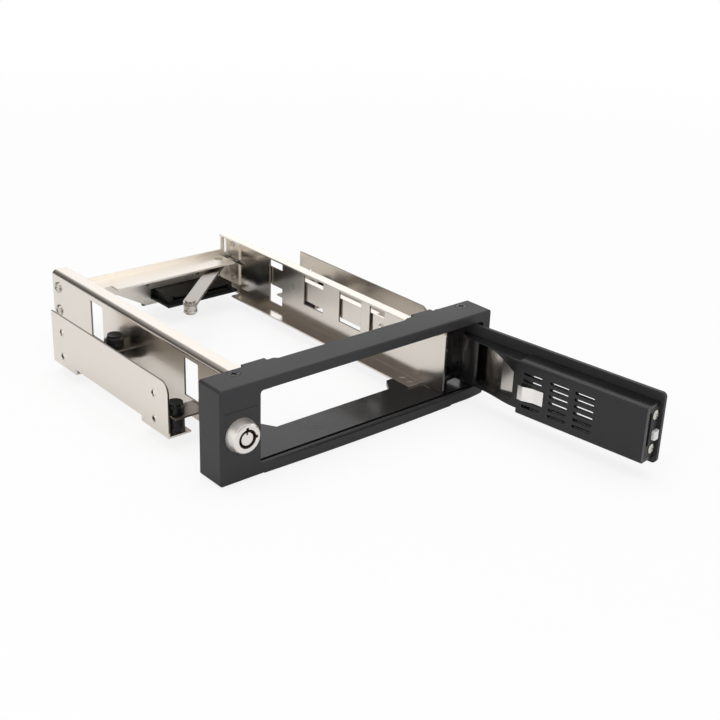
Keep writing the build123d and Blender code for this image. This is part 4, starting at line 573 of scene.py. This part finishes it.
# %% Screws of the door's free end and of the lock's cam
hinge = Vector((0.0546, 0.0071, 0))
open_turn = radians(-83.5)
along = Vector((cos(open_turn), sin(open_turn), 0))
across = Vector((-sin(open_turn), cos(open_turn), 0))
end_u, end_v, end_heights = 107.2, 5.3, (28.2, 12.8)
cam_back = 0.0059


def door_point(u, v, z):
    return tuple(hinge + along * (u * mm) + across * (v * mm) + Vector((0, 0, z * mm)))


end_screws = pan_head.make("door_end_screws", [
    (door_point(end_u, end_v, z), tuple(along)) for z in end_heights],
    screw_steel, Head_Radius=0.0022, Head_Height=0.0007, Recess_Length=0.0025,
    Recess_Width=0.0006, Shank_Radius=0.0012, Shank_Length=0.006)
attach(end_screws, "door")
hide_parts("catch_screws")
cam_screw = pan_head.make("cam_screw_head", [((lock_axis.x, cam_back, lock_axis.z), (0, 1, 0))],
                          screw_steel, Head_Radius=0.0028, Head_Height=0.0012,
                          Shank_Radius=0.0012, Shank_Length=0.001)
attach(cam_screw, "key_plug")
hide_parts("lock_cam_screw")
print("door screws:", len(end_heights), "and the cam's screw")

# %% [markdown]
# ## Spring contacts
# Inside each slot of the receptacle is a row of gold plated springs.  A contact is
# a short strip bent into an arch: a curve gives the bend, and a flat rectangle
# swept along it gives the strip.

# %% Contact rows
bend_at = 0.35
contact_row = Recipe("contact_row", [
    ("Length", "Float", 0.0042), ("Arch", "Float", 0.0004), ("Width", "Float", 0.0007),
    ("Thickness", "Float", 0.0002), ("Finish", "Material", None)])
far_end = contact_row.add("ShaderNodeCombineXYZ", Y=contact_row.given("Length"))
mid_share = contact_row.add("ShaderNodeMath", {"operation": "MULTIPLY"},
                            _0=contact_row.given("Length"), _1=bend_at)
mid_point = contact_row.add("ShaderNodeCombineXYZ", Y=mid_share, Z=contact_row.given("Arch"))
bow = contact_row.add("GeometryNodeCurveQuadraticBezier", Resolution=8, Start=(0.0, 0.0, 0.0),
                      Middle=mid_point, End=far_end)
strip = contact_row.add("GeometryNodeCurvePrimitiveQuadrilateral",
                        Width=contact_row.given("Width"), Height=contact_row.given("Thickness"))
swept = contact_row.add("GeometryNodeCurveToMesh", Curve=bow, Profile_Curve=strip)
swept.inputs["Fill Caps"].default_value = True
contacts = contact_row.add("GeometryNodeInstanceOnPoints",
                           Points=contact_row.given("Geometry"), Instance=swept)
contact_row.close(contacts)

pitch, data_count, power_count = 1.27, 7, 15
plug_mid, data_side, power_side, slot_y, slot_z = 21.4, 11.6, 6.4, 0.1541, 0.0116
socket_mid, socket_y, socket_floor = 8.0, 0.1745, 0.01262


def row(middle, count):
    return [(middle + (n - count // 2) * pitch) * mm for n in range(count)]


receptacle_points = [
    (x, slot_y, slot_z)
    for x in row(plug_mid - data_side, data_count) + row(plug_mid + power_side, power_count)]
receptacle_springs = contact_row.make("receptacle_springs", [
    (at, (0, 0, 1)) for at in receptacle_points], gold)
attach(receptacle_springs, "cage")
socket_springs = contact_row.make("socket_springs", [
    ((x, socket_y, socket_floor), (0, 0, 1)) for x in row(socket_mid, data_count)],
    gold, Arch=0.0001)
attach(socket_springs, "cage")
print("contacts:", len(receptacle_points) + data_count)

# %% [markdown]
# ## Solder beads on the back of the board
# The power pins come through the board in two rows and the data socket's pins in one,
# and all are soldered behind it.  A bead is a squashed ball, half sunk in the board.

# %% Solder beads
beads = Recipe("solder_beads", [
    ("Radius", "Float", 0.0005), ("Height", "Float", 0.8), ("Finish", "Material", None)])
ball = beads.add("GeometryNodeMeshIcoSphere", Radius=beads.given("Radius"), Subdivisions=3)
flat = beads.add("ShaderNodeCombineXYZ", X=1.0, Y=1.0, Z=beads.given("Height"))
blob = beads.add("GeometryNodeTransform", Geometry=(ball, "Mesh"), Scale=flat)
bead_facing = beads.add("GeometryNodeInputNamedAttribute", {"data_type": "FLOAT_VECTOR"},
                        Name="outward")
bead_turn = beads.add("FunctionNodeAlignRotationToVector", {"axis": "Z"},
                      Vector=(bead_facing, "Attribute"))
beads.close(beads.add("GeometryNodeInstanceOnPoints",
                      Points=beads.given("Geometry"), Instance=blob, Rotation=bead_turn))
power_pins_x, power_pins_z = 22.0, (9.6, 11.4)
socket_pins_x, socket_pins_z = (2.6, 5.2, 7.8, 10.4, 13.0), 7.6
bead_points = [(((power_pins_x + n * pitch) * mm, board_back, z * mm), (0, 1, 0))
               for z in power_pins_z for n in range(power_count)]
bead_points += [((x * mm, board_back, socket_pins_z * mm), (0, 1, 0)) for x in socket_pins_x]
solder_beads = beads.make("solder_beads", bead_points, solder)
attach(solder_beads, "cage")
print("solder beads:", len(bead_points))

# %% [markdown]
# ## Pins in the lock's key ring
# A tubular lock has seven sprung pins at the bottom of its ring.  They are the same
# ball as the beads, but drawn out to a pin, on a circle round the lock's axis.

# %% Lock pins
pin_count, pin_circle, pin_floor = 7, 0.0033, -0.0047
pin_turns = [radians(90 + 360 / pin_count * n) for n in range(pin_count)]
pin_places = [
    (lock_axis.x + pin_circle * cos(turn), pin_floor, lock_axis.z + pin_circle * sin(turn))
    for turn in pin_turns]
lock_pins = beads.make("lock_pins", [(at, (0, -1, 0)) for at in pin_places], screw_steel,
                       Radius=0.00042, Height=4.0)
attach(lock_pins, "key_plug")
print("lock pins:", len(pin_places))

# %% [markdown]
# ## Rolled rims of the side holes
# The punch pushes the sheet out a little round each tapped hole, and the light
# catches that rim.  A circle swept along a circle makes it, and a scale flattens it.

# %% Hole rims
rolled_rim = Recipe("rolled_rim", [
    ("Hole", "Float", 0.00125), ("Swell", "Float", 0.00034), ("Height", "Float", 0.55),
    ("Finish", "Material", None)])
rim_middle = rolled_rim.add("ShaderNodeMath", {"operation": "ADD"},
                            _0=rolled_rim.given("Hole"), _1=rolled_rim.given("Swell"))
rim_path = rolled_rim.add("GeometryNodeCurvePrimitiveCircle", Resolution=32, Radius=rim_middle)
rim_section = rolled_rim.add("GeometryNodeCurvePrimitiveCircle", Resolution=10,
                             Radius=rolled_rim.given("Swell"))
rim_solid = rolled_rim.add("GeometryNodeCurveToMesh", Curve=rim_path, Profile_Curve=rim_section)
rim_scale = rolled_rim.add("ShaderNodeCombineXYZ", X=1.0, Y=1.0, Z=rolled_rim.given("Height"))
rim_flat = rolled_rim.add("GeometryNodeTransform", Geometry=rim_solid, Scale=rim_scale)
rim_facing = rolled_rim.add("GeometryNodeInputNamedAttribute", {"data_type": "FLOAT_VECTOR"},
                            Name="outward")
rim_turn = rolled_rim.add("FunctionNodeAlignRotationToVector", {"axis": "Z"},
                          Vector=(rim_facing, "Attribute"))
rolled_rim.close(rolled_rim.add("GeometryNodeInstanceOnPoints",
                                Points=rolled_rim.given("Geometry"),
                                Instance=rim_flat, Rotation=rim_turn))
wall_out, hole_y, hole_z = 0.073, (0.0474, 0.12665), (0.0099, 0.02184)
hole_rims = rolled_rim.make("side_hole_rims", [
    ((hand * wall_out, y, z), (hand, 0, 0))
    for hand in (-1, 1) for y in hole_y for z in hole_z], nickel)
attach(hole_rims, "cage")
print("hole rims:", len(hole_rims.data.polygons), "faces")

# %% [markdown]
# ## Floor, backdrop and light
# A plain white sweep shows metal at its best, because nickel only shows what is
# round it.  The camera sees the floor as almost white, and only the soft contact
# shadow is left of its shading.  A reflection sees the paper as it is really lit,
# which is a little darker, and so the vertical sheets keep their warm grey.  Above
# the paper the ceiling is grey, a dark screen stands behind on the left, and the
# paper on the right is lit more.  Only reflections see these: they draw the dark
# lines along the bends of the sheet and make its level parts bright.  Each is faded
# in over a range of the ray's direction, whose parts run from -1 to 1.

# %% Floor
floor_half, floor_gap = 30, 0.0004
near_spot, far_spot, near_white = 0.15, 0.9, 0.82
floor_mesh = bpy.data.meshes.new("studio_floor")
corners = [(-1, -1), (1, -1), (1, 1), (-1, 1)]
floor_mesh.from_pydata([(x * floor_half, y * floor_half, 0) for x, y in corners],
                       [], [(0, 1, 2, 3)])
floor = bpy.data.objects.new("studio_floor", floor_mesh)
floor.location.z = cad_box[0][2] - floor_gap
bpy.context.scene.collection.objects.link(floor)
paper = Finish("floor_paper")
fibres = paper.noise(30, (1, 1, 1), 2.0)
paper.set(base_color=paper.mix(fibres, grey(0.86), grey(0.88)), roughness=0.9)
spot = paper.node("ShaderNodeVectorMath", {"operation": "LENGTH"}, {0: paper.place}, "Value")
white_share = paper.remap(spot, near_spot, far_spot, near_white, 1.0)
ray = paper.node("ShaderNodeLightPath", {}, {}, "Is Camera Ray")
white = paper.node("ShaderNodeEmission", {}, {"Color": grey(1.0), "Strength": 1.0})
both = paper.node("ShaderNodeMixShader", {}, {
    0: white_share * ray, 1: Value(paper, paper.shader.outputs[0]), 2: white})
paper.tree.links.new(both.socket, paper.tree.nodes["Material Output"].inputs["Surface"])
floor_mesh.materials.append(paper.material)
print("floor", 2 * floor_half, "m wide")

# %% World
sky_tint, sky_strength = (0.98, 0.985, 1.0, 1), 0.50
white_room, dark_room = (1, 1, 1, 1), (0.028, 0.021, 0.015, 1)
world = bpy.data.worlds.new("studio_world")
bpy.context.scene.world = world
world.use_nodes = True
sky = world.node_tree
sky_light = sky.nodes["Background"]
sky_light.inputs["Color"].default_value = sky_tint
sky_light.inputs["Strength"].default_value = sky_strength
seen = sky.nodes.new("ShaderNodeBackground")


def sky_node(kind, *feeds, operation=None):
    made = sky.nodes.new(kind)
    if operation:
        made.operation = operation
    for where, value in zip(made.inputs, feeds):
        if isinstance(value, bpy.types.NodeSocket):
            sky.links.new(value, where)
        else:
            where.default_value = value
    return made.outputs[0]


def sky_math(operation, first, second):
    return sky_node("ShaderNodeMath", first, second, operation=operation)


def fade(value, low, high, out_low=0.0, out_high=1.0):
    return sky_node("ShaderNodeMapRange", value, low, high, out_low, out_high)


def product(*factors):
    whole = factors[0]
    for factor in factors[1:]:
        whole = sky_math("MULTIPLY", whole, factor)
    return whole


# %% The screen, the ceiling and the lit paper
rays = sky.nodes.new("ShaderNodeLightPath")
looking = sky.nodes.new("ShaderNodeSeparateXYZ")
sky.links.new(sky.nodes.new("ShaderNodeTexCoord").outputs["Generated"], looking.inputs[0])
to_right, to_back, upward = looking.outputs
not_camera = sky_math("SUBTRACT", 1.0, rays.outputs["Is Camera Ray"])
off_floor = fade(upward, 0.0, 0.05)
screen = product(fade(to_right, 0.32, 0.0), fade(to_right, -0.86, -0.72), off_floor,
                 fade(to_back, -0.1, 0.15), fade(upward, 0.42, 0.75, 0.92, 0.55))
ceiling = fade(upward, 0.42, 0.60, 0.04, 0.62)
dimmed = product(sky_math("MAXIMUM", screen, ceiling), not_camera)
lit_paper = product(fade(to_right, 0.25, 0.5, 0.0, 0.4), off_floor, not_camera)
sky.links.new(sky_math("ADD", lit_paper, 1.0), seen.inputs["Strength"])

# %% Join what is seen and what lights the part
room = sky.nodes.new("ShaderNodeMix")
room.data_type = "RGBA"
room.inputs[6].default_value = white_room
room.inputs[7].default_value = dark_room
sky.links.new(dimmed, room.inputs[0])
sky.links.new(room.outputs[2], seen.inputs["Color"])
sharp = sky_math("MAXIMUM", rays.outputs["Is Glossy Ray"], rays.outputs["Is Transmission Ray"])
clear = sky_math("MAXIMUM", rays.outputs["Is Camera Ray"], sharp)
blend_sky = sky.nodes.new("ShaderNodeMixShader")
sky.links.new(clear, blend_sky.inputs[0])
sky.links.new(sky_light.outputs[0], blend_sky.inputs[1])
sky.links.new(seen.outputs[0], blend_sky.inputs[2])
sky.links.new(blend_sky.outputs[0], sky.nodes["World Output"].inputs["Surface"])
print("world:", len(sky.nodes), "nodes")


# %% Soft boxes
def soft_box(name, at, aim, size, watts, tint=(1, 1, 1)):
    lamp = bpy.data.objects.new(name, bpy.data.lights.new(name, "AREA"))
    lamp.data.shape = "RECTANGLE"
    lamp.data.size, lamp.data.size_y = size
    lamp.data.energy = watts
    lamp.data.color = tint
    lamp.location = at
    lamp.rotation_euler = (Vector(aim) - Vector(at)).to_track_quat("-Z", "Y").to_euler()
    bpy.context.scene.collection.objects.link(lamp)


soft_box("overhead_box", (0.0, 0.1, 1.1), (0, 0.05, 0), (1.3, 1.1), 7.5)
soft_box("left_box", (-1.1, -0.1, 0.55), (0, 0.05, 0.02), (0.9, 0.8), 3.5, (1.0, 0.98, 0.95))
soft_box("front_box", (0.2, -1.2, 0.5), (0, 0, 0.02), (1.0, 0.6), 2.5)
